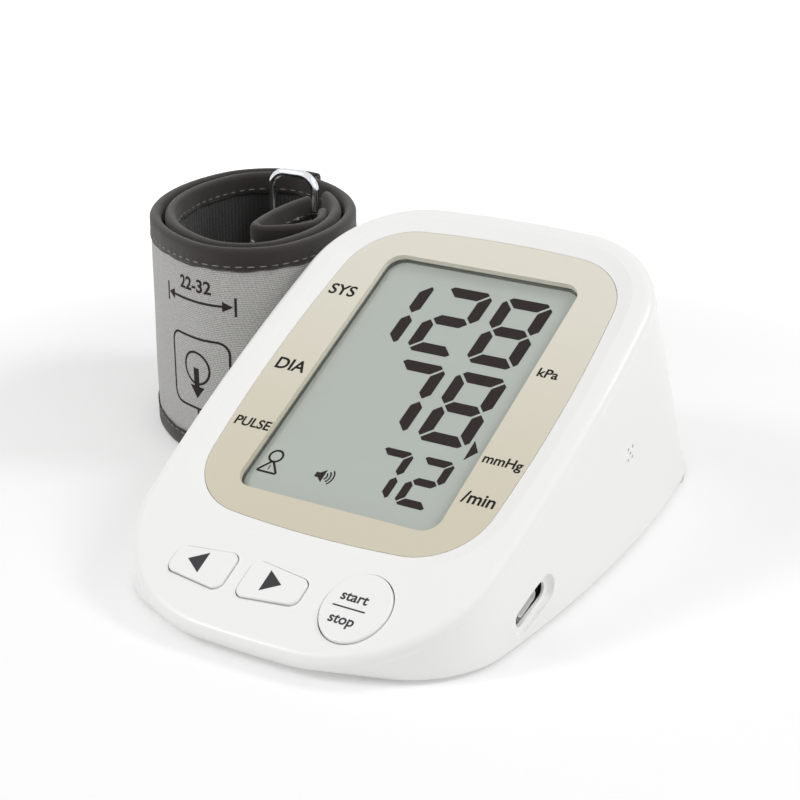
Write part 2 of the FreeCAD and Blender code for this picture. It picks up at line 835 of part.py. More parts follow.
def make_case():
    outside = case_solid("case_outside", "0", "foot_height", "parting")
    inside = case_solid("case_inside", "case_wall", "floor_top", "parting")
    shell = cut("case_shell", outside, inside)
    box_length = "(box_back - box_front)"
    box_middle = "(box_back + box_front)/2"
    cell_box = box("cell_box", "2*box_half + 2*box_wall", f"{box_length} + 2*box_wall",
                   "box_top - foot_height", 0, box_middle, "foot_height")
    bridge = box("door_bridge", "2*door_half + 2*tongue_width + 2*box_wall",
                 "base_back - 3*case_wall - box_back",
                 "floor_thick + box_wall", 0, "(base_back - 3*case_wall + box_back)/2",
                 "foot_height")
    posts = [
        cylinder("case_post", "post_radius", f"{where}_post_top - foot_height",
                 f"{side}*{where}_post_x", f"{where}_post_y", "foot_height")
        for side in SIDES for where in ("front", "rear")]
    cradles = []
    for start, end, radius in (("head_x", "motor_x", "pump_head_radius"),
                               ("motor_x", "motor_end", "motor_radius")):
        x = f"({start} + {end})/2"
        rib = box("cradle_rib", "cradle_thick", "2*cradle_half_width", "pump_z - box_top - motor_radius/3",
                  x, "pump_y", "box_top")
        seat = cylinder("cradle_seat", radius, "2*cradle_thick", f"{x} - cradle_thick",
                        "pump_y", "pump_z", "x")
        cradles.append(cut("cradle", rib, seat))
    ring_x = "(speaker_wall - case_wall - speaker_depth)"
    ring = tube("speaker_ring", "speaker_radius + fit_gap + speaker_ring_wall", "speaker_radius + fit_gap",
                "speaker_depth + case_wall/2", ring_x, "speaker_y", "speaker_z", "x")
    rib_top = "(port_shell_height/2 + board_thick)"
    port_rib = box("port_rib_block", "port_board_depth - case_wall", "port_rib_width", "port_z",
                   "-(port_board_depth)/2", "0", f"-{rib_top} - port_z")
    port_rib = port_frame(fuse("port_rib_tilted", port_rib, box(
        "port_rib_heel", "case_wall", "port_rib_width", "port_z",
        "-port_board_depth + case_wall", "0", f"-{rib_top} - port_z")), "case_wall")
    rib = common("port_rib", port_rib, inside)
    seat = cylinder("socket_seat_boss", "socket_flange_radius + case_wall", "socket_seat + case_wall/2",
                    "case_wall/2 - socket_wall", "pump_y", "pump_z", "x")
    whole = fuse("case_whole", shell, cell_box, bridge, rib, ring, seat, *posts, *cradles)

    cells = box("cell_room", "2*box_half", box_length, "box_roof", 0,
                box_middle, "0")
    door_run = "(2*base_back - box_front)"
    door_slot = box("door_slot", "2*door_half + 2*door_gap", f"{door_run} + door_gap", "door_top", 0,
                    f"box_front - door_gap + ({door_run} + door_gap)/2", "0")
    tongue_z = "(door_top - door_thick/2 - tongue_thick/2)"
    groove = box("door_groove", "2*door_half + 2*tongue_width + 2*door_gap", f"{door_run} + door_gap",
                 "tongue_thick + 2*thread_gap", 0,
                 f"box_front - door_gap + ({door_run} + door_gap)/2", f"{tongue_z} - thread_gap")
    feet = [cylinder("foot_seat", "foot_radius", "foot_sink + foot_height", x, y, "0")
            for x, y in foot_spots()]
    heads = [
        cylinder("head_bore", "screw_head_radius + 2*fit_gap", f"{where}_post_top - screw_clamp",
                 f"{side}*{where}_post_x", f"{where}_post_y", "0")
        for side in SIDES for where in ("front", "rear")]
    shanks = [
        cylinder("shank_bore", "screw_radius + fit_gap/2", f"{where}_post_top + fit_gap",
                 f"{side}*{where}_post_x", f"{where}_post_y", "0")
        for side in SIDES for where in ("front", "rear")]
    holes = [
        cylinder("sound_hole", "sound_hole_radius", "3*case_wall", "speaker_wall - 2*case_wall",
                 f"speaker_y + {a}*sound_hole_pitch", f"speaker_z + {b}*sound_hole_pitch", "x")
        for a, b in ((0, 0), (-1, -1), (-1, 1), (1, -1), (1, 1))]
    slot = port_frame(port_block("port_slot", "port_slot_length", "port_slot_height", "3*case_wall"),
                      "2*case_wall")
    recess = port_frame(port_block("port_recess", "port_recess_length", "port_recess_height", "case_wall"),
                        "port_recess_depth")
    socket_hole = cylinder("socket_hole", "socket_radius + socket_gap", "3*case_wall",
                           "-socket_wall - case_wall", "pump_y", "pump_z", "x")
    flange_room = cylinder("flange_room", "socket_flange_radius + 2*fit_gap", "2*case_wall", "seal_x",
                           "pump_y", "pump_z", "x")
    node("bottom_cover", cut("case", whole, cells, door_slot, groove, slot, recess, socket_hole, flange_room,
                             *feet, *heads, *shanks, *holes))

    plate = box("door_plate", "2*door_half", door_run, "door_thick", 0, f"box_front + {door_run}/2",
                "foot_height")
    tongues = box("door_tongues", "2*door_half + 2*tongue_width", door_run, "tongue_thick", 0,
                  f"box_front + {door_run}/2", tongue_z)
    node("battery_door", common("door", fuse("door_blank", plate, tongues), outside))


def foot_spots():
    rows = ("base_front + foot_inset_front", "base_back - foot_inset_rear")
    return [(f"{side}*(base_half - foot_inset_x)", y) for side in SIDES for y in rows]


def make_feet_and_screws():
    feet = [cylinder("foot", "foot_radius - fit_gap/2", "foot_height + foot_sink", x, y, "0")
            for x, y in foot_spots()]
    node("rubber_feet", group("feet", feet))
    screws = []
    for side in SIDES:
        for where in ("front", "rear"):
            x, y = f"{side}*{where}_post_x", f"{where}_post_y"
            seat = f"{where}_post_top - screw_clamp"
            head = cylinder("screw_head", "screw_head_radius", "screw_head_height", x, y,
                            f"{seat} - screw_head_height")
            shank = cylinder("screw_shank", "screw_radius", "screw_length", x, y, seat)
            screws.append(fuse("housing_screw", head, shank))
    node("housing_screws", group("case_screws", screws))
    board_screws = []
    for side in SIDES:
        for y in ("board_boss_back", "-board_boss_front"):
            x = f"{side}*board_boss_x"
            head = panel_cylinder("board_screw_cap", "board_screw_head", "board_screw_head/2", x, y,
                                  "board_under - board_screw_head/2")
            shank = panel_cylinder("board_screw_shank", "board_screw_radius", "board_screw_length", x, y,
                                   "board_under")
            board_screws.append(fuse("board_screw", head, shank))
    node("board_screws", group("small_screws", board_screws))


# Boards, switches and buttons

def button_spots():
    middle = "(arrow_gap + arrow_length)/2"
    return {
        "left_arrow": (f"arrow_middle_x - {middle}", "arrow_y"),
        "right_arrow": (f"arrow_middle_x + {middle}", "arrow_y"),
        "start_stop": ("start_x", "start_y"),
    }


def make_boards():
    wide = panel_box("board_wide", "2*board_half_width", "board_back + board_nose_back", "board_thick", 0,
                     "(board_back - board_nose_back)/2", "board_under")
    nose = panel_box("board_nose", "2*board_nose_half_width",
                     "board_nose_front - board_nose_back + boss_sink", "board_thick", 0,
                     "-(board_nose_front + board_nose_back - boss_sink)/2", "board_under")
    holes = [panel_cylinder("board_hole", "board_screw_radius + fit_gap/2", "3*board_thick",
                            f"{side}*board_boss_x", y, "board_under - board_thick")
             for side in SIDES for y in ("board_boss_back", "-board_boss_front")]
    node("main_board", cut("board", fuse("board_blank", wide, nose), *holes))
    chips = [panel_box(chip, f"{chip}_size", f"{chip}_size", "chip_height", f"{chip}_x", f"{chip}_y",
                       "board_under - chip_height") for chip in ("processor", "driver", "memory")]
    node("board_chips", group("chips", chips))


def make_buttons():
    caps = button_prisms("key_cap", "0", "flange_under", "button_top - flange_under", "button_round")
    flanges = button_prisms("key_flange", "button_flange", "flange_under", "flange_thick")
    room = doc.addObject("PartDesign::Body", "flange_limit")
    limit = sketch_on(room, "flange_limit_outline", "flange_under")
    bowed_outline(limit, "lid", "lid_rim + button_gap")
    pad(room, limit, "flange_thick")
    flanges["start_stop"] = common("start_flange", flanges["start_stop"], on_panel(room))
    switches = []
    for name, (x, y) in button_spots().items():
        stem = panel_cylinder(name + "_stem", "stem_radius", "flange_under - plunger_top + flange_thick/2",
                              x, y, "plunger_top")
        node(name + "_button", fuse(name + "_key", caps[name], flanges[name], stem))
        plunger = panel_cylinder(name + "_pin", "plunger_radius", "plunger_proud + plunger_depth", x, y,
                                 "switch_top - plunger_depth")
        node(name + "_switch_plunger", plunger)
        block = panel_box("switch_block", "switch_size", "switch_size", "switch_height", x, y, "board_top")
        well = panel_cylinder("switch_well", "plunger_radius + plunger_gap",
                              "plunger_depth + button_travel + fit_gap", x, y,
                              "switch_top - plunger_depth - button_travel - fit_gap")
        switches.append(cut("switch", block, well))
    node("switch_bodies", group("switches", switches))


# Batteries

def make_batteries():
    cells, springs, plates = [], [], []
    rows = [f"{k}*cell_pitch" for k in (-1.5, -0.5, 0.5, 1.5)]
    spring_length = "(spring_room - contact_thick - thread_gap)"
    for row, x in enumerate(rows):
        flipped = row % 2
        start = "box_front + contact_thick" if flipped else "box_back - contact_thick - cell_length"
        can_y = f"{start} + cell_nub_length" if flipped else start
        nub_y = start if flipped else f"{start} + cell_length - cell_nub_length"
        can = cylinder("cell_can", "cell_radius", "cell_length - cell_nub_length", x, can_y, "cell_z", "y")
        nub = cylinder("cell_nub", "cell_nub_radius", "cell_nub_length", x, nub_y, "cell_z", "y")
        cells.append(fuse("cell", can, nub))
        spring_y = f"box_back - {spring_length}" if flipped else "box_front"
        springs.append(tube("cell_spring", "cell_nub_radius + contact_thick", "cell_nub_radius",
                            spring_length, x, spring_y, "cell_z", "y"))
        plate_y = "box_front + contact_thick/2" if flipped else "box_back - contact_thick/2"
        plates.append(box("cell_plate", "contact_size", "contact_thick", "contact_size", x, plate_y,
                          "cell_z - contact_size/2"))
    node("batteries", group("cells", cells))
    node("battery_springs", group("cell_springs", springs))
    node("battery_contacts", group("cell_plates", plates))


# Pump

def along_pump(name, radius, length, x):
    return cylinder(name, radius, length, x, "pump_y", "pump_z", "x")


def make_pump():
    cap = fuse("pump_cap_blank",
               along_pump("pump_cap_disc", "pump_head_radius", "pump_cap_length", "pump_left"),
               along_pump("pump_cap_nozzle", "nozzle_radius", "nozzle_length", "pump_left - nozzle_length"))
    node("pump_nozzle_cap", cut("pump_cap", cap, along_pump(
        "pump_cap_bore", "nozzle_bore", "nozzle_length + pump_cap_length", "pump_left - nozzle_length")))
    node("pump_valve_plate", cut(
        "pump_plate", along_pump("pump_plate_disc", "pump_head_radius", "pump_plate_length", "plate_x"),
        along_pump("pump_plate_bore", "nozzle_bore", "pump_plate_length", "plate_x")))
    cups = along_pump("pump_membrane", "pump_head_radius", "pump_plate_length", "diaphragm_x")
    node("pump_diaphragm", cups)
    head_bore = "pump_head_radius - pump_head_wall"
    node("pump_head", cut(
        "pump_housing",
        along_pump("pump_housing_outside", "pump_head_radius", "pump_head_length", "head_x"),
        along_pump("pump_housing_bore", head_bore, "pump_head_length", "head_x")))
    shaft_hole = "shaft_radius + shaft_gap"
    node("pump_motor_can", cut(
        "motor_can",
        along_pump("motor_outside", "motor_radius", "motor_length", "motor_x"),
        along_pump("motor_bore", "motor_radius - motor_wall", "motor_length - motor_wall",
                   "motor_x + motor_wall"),
        along_pump("motor_nose", shaft_hole, "2*motor_wall", "motor_x - motor_wall/2")))
    node("pump_motor_cap", cut(
        "motor_cap",
        along_pump("motor_cap_disc", "motor_radius", "motor_cap_length", "motor_end"),
        along_pump("motor_cap_hole", shaft_hole, "motor_cap_length", "motor_end")))
    rotor_x = "(motor_x + (motor_length + motor_wall - rotor_length)/2)"
    crank_x = "(head_x + (pump_head_length - crank_length)/2)"
    shaft = along_pump("rotor_shaft", "shaft_radius", f"motor_end + motor_cap_length/2 - {crank_x}", crank_x)
    pin = cylinder("rotor_pin", "shaft_radius", "crank_length", f"{crank_x} - crank_length", "pump_y",
                   "pump_z + crank_throw", "x")
    core = along_pump("rotor_core", "rotor_radius", "rotor_length", rotor_x)
    crank = along_pump("rotor_crank", "crank_radius", "crank_length", crank_x)
    node("pump_rotor", fuse("rotor", core, shaft, crank, pin))
    pad_x = "motor_x + motor_length/4 - cradle_thick/4"
    pad_length = "motor_length/2 - 1.5*cradle_thick"
    node("pump_cushion", box("cushion", pad_length, "2*cradle_half_width",
                             "cushion_thick + pump_head_radius - motor_radius", pad_x, "pump_y", "box_top"))


# Air line

def make_tee():
    arm = "tee_reach"
    core = [cylinder("tee_core", "tee_core_radius", "2*tee_core_radius", "tee_x - tee_core_radius", "pump_y",
                     "pump_z", "x"),
            cylinder("tee_stem", "tee_core_radius", "2*tee_core_radius", "tee_x", "pump_y",
                     "pump_z - tee_core_radius"),
            cylinder("tee_run", "nozzle_radius", f"2*{arm}", f"tee_x - {arm}", "pump_y", "pump_z", "x"),
            cylinder("tee_rise", "nozzle_radius", f"2*{arm}", "tee_x", "pump_y", f"pump_z - {arm}")]
    bores = [cylinder("tee_run_bore", "nozzle_bore", f"2*{arm}", f"tee_x - {arm}", "pump_y", "pump_z", "x"),
             cylinder("tee_rise_bore", "nozzle_bore", f"2*{arm}", "tee_x", "pump_y", f"pump_z - {arm}")]
    node("air_tee", cut("tee", fuse("tee_blank", *core), *bores))
    left = "tee_x - tee_core_radius"
    right = "tee_x + tee_core_radius"
    node("pump_tube", tube("tube_a", "tube_radius", "tube_bore", f"pump_left - ({right})", right, "pump_y",
                           "pump_z", "x"))
    node("socket_tube", tube("tube_b", "tube_radius", "tube_bore",
                             f"{left} - flange_x - socket_flange_thick",
                             "flange_x + socket_flange_thick", "pump_y", "pump_z", "x"))
    node("valve_tube", tube("tube_c", "tube_radius", "tube_bore", "pump_z - tee_core_radius - valve_top",
                            "tee_x", "pump_y", "valve_top"))


def make_sensor():
    """Sensor under the board; its tube rises from the tee and leans over to the board's square."""
    tilt = math.radians(worth("panel_tilt"))
    start = Vector(worth("tee_x"), worth("pump_y"), worth("pump_z + tee_core_radius"))
    panel = Vector(0, worth("panel_y"), worth("panel_z"))
    normal = Vector(0, -math.sin(tilt), math.cos(tilt))
    upslope = Vector(0, math.cos(tilt), math.sin(tilt))
    rise, bend = worth("tube_rise"), worth("tube_bend")
    sensor_under = worth("board_under - sensor_height")
    bend_start = start + Vector(0, 0, rise)
    bend_middle = bend_start + Vector(0, bend * (math.cos(tilt / 2) - 1), bend * math.sin(tilt / 2))
    bend_end = bend_start + Vector(0, bend * (math.cos(tilt) - 1), bend * math.sin(tilt))
    last_run = sensor_under - (bend_end - panel).dot(normal)
    end = bend_end + normal * last_run
    route = Part.Wire([Part.LineSegment(start, bend_start).toShape(),
                       Part.Arc(bend_start, bend_middle, bend_end).toShape(),
                       Part.LineSegment(bend_end, end).toShape()])

    def pipe(radius):
        ring = Part.Wire(Part.makeCircle(radius, start, Vector(0, 0, 1)))
        return route.makePipeShell([ring], True, True)

    hose = doc.addObject("Part::Feature", "tube_d")
    hose.Shape = pipe(worth("tube_radius")).cut(pipe(worth("tube_bore")))
    node("sensor_tube", hose)
    spot = (end - panel).dot(upslope)
    block = panel_box("sensor_block", "sensor_length", "sensor_width", "sensor_height", "tee_x", spot,
                      "board_under - sensor_height")
    nozzle = panel_cylinder("sensor_spout", "nozzle_radius", "sensor_nozzle", "tee_x", spot,
                            "board_under - sensor_height - sensor_nozzle")
    node("pressure_sensor", fuse("sensor", block, nozzle))


def make_socket():
    body = [cylinder("socket_barrel", "socket_radius", "socket_wall + flange_x + socket_flange_thick",
                     "-socket_wall", "pump_y", "pump_z", "x"),
            cylinder("socket_flange", "socket_flange_radius", "socket_flange_thick", "flange_x", "pump_y",
                     "pump_z", "x"),
            cylinder("socket_spout", "nozzle_radius", "socket_spout", "flange_x + socket_flange_thick",
                     "pump_y", "pump_z", "x")]
    bores = [cylinder("socket_bore", "socket_bore_radius", "socket_bore_depth - case_wall", "-socket_wall",
                      "pump_y", "pump_z", "x"),
             cylinder("socket_duct", "nozzle_bore", "socket_wall", "-socket_wall", "pump_y", "pump_z", "x")]
    node("air_socket", cut("socket", fuse("socket_blank", *body), *bores))
    node("socket_seal", tube("seal", "socket_flange_radius", "socket_radius + socket_gap",
                             "seal_thick", "seal_x", "pump_y", "pump_z", "x"))


def make_valve():
    x, y = "tee_x", "pump_y"
    frame = cut("valve_strap",
                box("valve_block", "valve_width", "valve_depth", "valve_height", x, y, "floor_top"),
                box("valve_window", "2*valve_width", "valve_depth - 2*valve_sheet",
                    "valve_height - 2*valve_sheet", x, y, "floor_top + valve_sheet"),
                cylinder("valve_outlet", "nozzle_bore", "valve_height", x, y, "floor_top + valve_height/2"))
    spout = tube("valve_spout", "nozzle_radius", "nozzle_bore", "nozzle_length", x, y, "valve_top")
    node("valve_frame", fuse("valve_body", frame, spout))
    room = "valve_height - 2*valve_sheet"
    node("valve_coil", tube("coil", "coil_radius", "coil_bore", f"{room} - plug_travel",
                            x, y, "floor_top + valve_sheet"))
    node("valve_plunger", cylinder("valve_pin", "plug_radius", f"{room} - 2*plug_travel",
                                   x, y, "floor_top + valve_sheet + plug_travel"))


# Speaker and side port

def make_speaker():
    inner = "(speaker_wall - case_wall - speaker_depth)"
    node("speaker", cylinder("speaker_can", "speaker_radius", "speaker_thick", inner,
                             "speaker_y", "speaker_z", "x"))
    node("speaker_gasket", tube("gasket", "speaker_radius", "gasket_bore",
                                "speaker_depth - speaker_thick - 3*fit_gap",
                                f"{inner} + speaker_thick", "speaker_y", "speaker_z", "x"))


def make_port():
    depth = "(port_setback + port_shell_depth)"
    shell = cut("port_shell", port_block("port_shell_outside", "port_shell_length", "port_shell_height",
                                         "port_shell_depth"),
                port_block("port_shell_bore", "port_shell_length - 2*port_shell_wall",
                           "port_shell_height - 2*port_shell_wall", "port_shell_depth", "port_shell_wall"))
    node("port_shell", port_frame(shell, depth))
    tongue = box("port_tongue_blade", "port_shell_depth - port_shell_wall - 1.5*port_shell_wall",
                 "port_shell_length - port_shell_height", "tongue_tip",
                 "port_shell_wall + (port_shell_depth - 2.5*port_shell_wall)/2", "0", "-tongue_tip/2")
    node("port_tongue", port_frame(cut("port_tongue_cut", tongue, box(
        "port_tongue_notch", "port_shell_wall", "port_shell_length", "tongue_tip",
        "port_shell_depth - 1.5*port_shell_wall", "0", "-tongue_tip/2")), depth))
    board = box("port_board_plate", "port_board_depth", "port_board_length", "board_thick",
                "port_board_depth/2", "0", "-port_shell_height/2 - board_thick")
    hole = cylinder("port_board_hole", "board_screw_radius", "3*board_thick",
                    "board_thick + board_screw_radius", "port_board_length/2 - 2*board_screw_radius",
                    "-port_shell_height/2 - 2*board_thick")
    node("port_board", port_frame(cut("port_board_blank", board, hole),
                                  "case_wall + port_board_depth + port_setback"))


# Rolled cuff

def heading(degrees):
    angle = math.radians(degrees)
    return Vector(math.cos(angle), math.sin(angle), 0)


class Band:
    """Upright strip of cloth whose middle line is a chain of arcs, each turning left."""

    def __init__(self, start, course, steps):
        self.arcs = []
        for radius, sweep in steps:
            centre = start + heading(course + 90) * radius
            self.arcs.append((centre, radius, course - 90, course - 90 + sweep))
            course += sweep
            start = centre + heading(course - 90) * radius
        self.end = start
        self.onward = course

    def point(self, arc, share, offset=0.0):
        centre, radius, first, last = self.arcs[arc]
        return centre + heading(first + share * (last - first)) * (radius + offset)

    def outward(self, arc, share):
        first, last = self.arcs[arc][2:]
        return heading(first + share * (last - first))

    def edge(self, arc, offset, first=0.0, last=1.0):
        shares = (first, (first + last) / 2, last)
        return Part.Arc(*[self.point(arc, share, offset) for share in shares]).toShape()

    def solid(self, inner, outer, low, high):
        """Band between two offsets from the middle line and two heights."""
        arcs = range(len(self.arcs))
        edges = [self.edge(arc, offset) for offset in (inner, outer) for arc in arcs]
        edges.append(Part.LineSegment(self.point(0, 0, inner), self.point(0, 0, outer)).toShape())
        edges.append(Part.LineSegment(self.point(-1, 1, inner), self.point(-1, 1, outer)).toShape())
        return raised(edges, low, high)

    def patch(self, arc, first, last, inner, outer, low, high):
        """Piece of the band over a share of one arc."""
        edges = [self.edge(arc, offset, first, last) for offset in (inner, outer)]
        edges += [Part.LineSegment(self.point(arc, share, inner), self.point(arc, share, outer)).toShape()
                  for share in (first, last)]
        return raised(edges, low, high)


def raised(edges, low, high):
    face = Part.Face(Part.Wire(Part.__sortEdges__(edges)))
    face.translate(Vector(0, 0, low))
    return face.extrude(Vector(0, 0, high - low))


def rolled_band():
    """Oval spiral of quarter arcs, from the outer end inwards."""
    slim, deep = worth("cuff_half_width"), worth("cuff_half_depth")
    root = math.sqrt(0.5)
    spread = (deep - slim) / (2 * root - 1)
    end_radius = slim - (1 - root) * spread
    middle, pitch = worth("cuff_thick/2"), worth("cuff_pitch")
    steps = []
    quarters = int(worth("cuff_quarters"))
    for quarter in range(quarters):
        radius = end_radius + spread if quarter % 2 else end_radius
        sweep = 90 if quarter < quarters - 1 else worth("cuff_last_sweep")
        steps.append((radius - middle - pitch * quarter / 4, sweep))
    turn = worth("cuff_turn")
    end_centre = Vector(worth("cuff_x"), worth("cuff_y"), 0) + heading(turn + 90) * (root * spread)
    return Band(end_centre + heading(turn + 45) * steps[0][0], turn + 135, steps)


def shaped(label, shape):
    piece = doc.addObject("Part::Feature", label + "_form")
    piece.Shape = shape
    return node(label, piece)


def bound_edge(band, half, low, high, body):
    """Binding tape that wraps an edge of a band."""
    skin = worth("binding_thick")
    return band.solid(-half - skin, half + skin, low, high).cut(body)


def strap_band(band, pivot):
    """Strap end: it runs out from the ring, folds back and comes to lie along the roll's inner wall."""
    course = worth("cuff_turn + tail_course")
    start = pivot + heading(course) * worth("sleeve_radius")
    steps = [(worth("tail_run_radius"), worth("tail_run_sweep")),
             (worth("tail_bend"), worth("tail_turn")),
             (worth("tail_back_radius"), worth("tail_back_sweep"))]
    fold = Band(start, course, steps)
    wall_centre, wall_radius = band.arcs[-1][:2]
    rest = wall_radius - worth("(tail_thick + cuff_thick)/2 + 2*binding_thick + tail_gap")
    across = heading(fold.onward + 90)
    reach = fold.end - wall_centre
    curl = (rest ** 2 - reach.dot(reach)) / (2 * (rest + reach.dot(across)))
    touch = reach + across * curl
    sweep = (math.degrees(math.atan2(touch.y, touch.x)) + 90 - fold.onward) % 360
    return Band(start, course, steps + [(curl, sweep), (rest, worth("tail_rest_sweep"))])


def make_cuff():
    band = rolled_band()
    half, top = worth("cuff_thick/2"), worth("cuff_height")
    skin, tape = worth("binding_thick"), worth("binding_height")
    seam = worth("lining_thick - cuff_thick/2")
    wrap_top = top - skin
    whole = band.solid(-half, half, 0, wrap_top)
    shaped("cuff_wrap", band.solid(seam, half, 0, wrap_top))
    shaped("cuff_lining", band.solid(-half, seam, 0, wrap_top))
    shaped("cuff_bottom_binding", bound_edge(band, half, 0, tape, whole))
    last = worth("end_tape_share")
    strips = [band.patch(0, 0, last, side, side + skin, tape, top - tape) for side in (-half - skin, half)]
    shaped("cuff_end_binding", Part.makeCompound(strips))
    shaped("cuff_hook_patch", band.patch(0, 2 * last, worth("hook_share"), -half - skin, -half,
                                         2 * tape, top - 2 * tape))

    pivot = band.end + heading(band.onward) * worth("ring_onward")
    pivot += heading(band.onward + 90) * worth("ring_inward")
    lift, length = worth("ring_lift"), worth("ring_length")
    sleeve_low = Vector(0, 0, lift + (length - worth("sleeve_length")) / 2)
    sleeve = Part.makeCylinder(worth("sleeve_radius"), worth("sleeve_length"), pivot + sleeve_low)
    bore = Part.makeCylinder(worth("ring_wire_radius + sleeve_gap"), worth("sleeve_length"),
                             pivot + sleeve_low)
    shaped("cuff_ring_sleeve", sleeve.cut(bore).cut(whole))
    shaped("cuff_ring", ring_solid(pivot, heading(band.onward + worth("ring_swing"))))

    tail_half, tail_top = worth("tail_thick/2"), top - worth("tail_drop")
    tail = strap_band(band, pivot)
    folded = tail.solid(-tail_half, tail_half, worth("tail_low"), tail_top - skin)
    shaped("cuff_tail", folded)
    tapes = [bound_edge(band, half, top - tape, top, whole),
             bound_edge(tail, tail_half, tail_top - tape, tail_top, folded)]
    shaped("cuff_top_binding", Part.makeCompound(tapes))

    arc, share = 0, 0.5
    outward = band.outward(arc, share)
    spot = band.point(arc, share, half) + Vector(0, 0, worth("cuff_port_height"))
    flange = Part.makeCylinder(worth("cuff_port_flange"), 2 * skin, spot - outward * skin, outward)
    stub = Part.makeCylinder(worth("cuff_port_radius"), worth("cuff_port_length"), spot, outward)
    hole = Part.makeCylinder(worth("tube_bore"), worth("cuff_port_length"), spot + outward * skin, outward)
    shaped("cuff_air_port", flange.fuse(stub).cut(hole).cut(whole))


def ring_solid(pivot, onward):
    """Long wire loop whose one upright runs through the sleeve."""
    corner, width = worth("ring_corner"), worth("ring_width")
    low, high = worth("ring_lift"), worth("ring_lift + ring_length")
    near, far = pivot, pivot + onward * width

    def at(point, height, inwards=0.0):
        return Vector(point.x, point.y, height) + onward * inwards

    slack = corner * (1 - math.sqrt(0.5))
    uprights = [(at(near, low + corner), at(near, high - corner)),
                (at(far, high - corner), at(far, low + corner))]
    bars = [(at(near, high, corner), at(far, high, -corner)), (at(far, low, -corner), at(near, low, corner))]
    bends = [(uprights[0][1], at(near, high - slack, slack), bars[0][0]),
             (bars[0][1], at(far, high - slack, -slack), uprights[1][0]),
             (uprights[1][1], at(far, low + slack, -slack), bars[1][0]),
             (bars[1][1], at(near, low + slack, slack), uprights[0][0])]
    edges = []
    for run, bend in zip((uprights[0], bars[0], uprights[1], bars[1]), bends):
        edges.append(Part.LineSegment(*run).toShape())
        edges.append(Part.Arc(*bend).toShape())
    section = Part.Wire(Part.makeCircle(worth("ring_wire_radius"), uprights[0][0], Vector(0, 0, 1)))
    return Part.Wire(edges).makePipeShell([section], True, True)


def write_parts():
    doc.recompute()
    failed = [obj.Name for obj in doc.Objects if "Invalid" in obj.State or "Error" in obj.State]
    failed += [obj.Label for obj in nodes if obj.Shape.isNull() or not obj.Shape.isValid()]
    if failed:
        raise RuntimeError("failed objects: " + ", ".join(failed))
    os.makedirs("parts", exist_ok=True)
    for obj in nodes:
        obj.Shape.exportStep(os.path.join("parts", obj.Label + ".step"))


make_bezel()
make_display()
make_top_cover()
make_case()
make_feet_and_screws()
make_boards()
make_buttons()
make_batteries()
make_pump()
make_tee()
make_sensor()
make_socket()
make_valve()
make_speaker()
make_port()
make_cuff()
write_parts()
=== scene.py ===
import math

import bmesh
import bpy
from bpy.props import FloatProperty, FloatVectorProperty, IntProperty, PointerProperty, StringProperty
from mathutils import Matrix, Vector


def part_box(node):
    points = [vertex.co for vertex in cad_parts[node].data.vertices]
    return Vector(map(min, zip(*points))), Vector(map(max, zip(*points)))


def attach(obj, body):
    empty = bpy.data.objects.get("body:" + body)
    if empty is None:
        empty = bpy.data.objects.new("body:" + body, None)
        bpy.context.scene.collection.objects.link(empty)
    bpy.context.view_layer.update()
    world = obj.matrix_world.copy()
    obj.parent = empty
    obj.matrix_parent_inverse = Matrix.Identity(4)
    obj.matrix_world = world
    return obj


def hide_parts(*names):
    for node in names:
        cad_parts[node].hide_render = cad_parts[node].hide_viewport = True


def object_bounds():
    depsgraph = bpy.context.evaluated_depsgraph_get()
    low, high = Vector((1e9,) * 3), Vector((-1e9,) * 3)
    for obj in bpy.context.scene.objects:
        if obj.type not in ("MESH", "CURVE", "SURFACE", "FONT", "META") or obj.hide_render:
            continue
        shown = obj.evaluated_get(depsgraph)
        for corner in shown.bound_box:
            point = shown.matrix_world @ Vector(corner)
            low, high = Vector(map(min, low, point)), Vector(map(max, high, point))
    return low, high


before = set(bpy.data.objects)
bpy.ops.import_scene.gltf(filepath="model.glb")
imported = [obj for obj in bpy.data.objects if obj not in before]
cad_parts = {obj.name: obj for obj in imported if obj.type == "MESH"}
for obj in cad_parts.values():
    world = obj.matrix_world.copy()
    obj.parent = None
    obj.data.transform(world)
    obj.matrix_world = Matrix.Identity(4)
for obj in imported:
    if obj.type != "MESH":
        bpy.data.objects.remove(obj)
CAD_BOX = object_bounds()

bl_info = {
    "name": "Blood pressure monitor",
    "version": (1, 0, 0),
    "blender": (4, 5, 0),
    "location": "View3D > Sidebar > Monitor",
    "description": "Dresses a desktop blood pressure monitor and its rolled arm cuff",
    "category": "Object",
}

MM = 0.001
TURN = 2 * math.pi


# Colours and sizes of the settings

def linear(red, green, blue):
    """Linear colour of an 8-bit screen colour."""
    def channel(value):
        share = value / 255
        return share / 12.92 if share <= 0.04045 else ((share + 0.055) / 1.055) ** 2.4
    return channel(red), channel(green), channel(blue)


def size(name, description, default):
    return FloatProperty(name=name, description=description, default=default, unit="LENGTH")


def colour(name, description, red, green, blue):
    return FloatVectorProperty(name=name, description=description, subtype="COLOR", size=3,
                               min=0, max=1, default=linear(red, green, blue))


# Settings

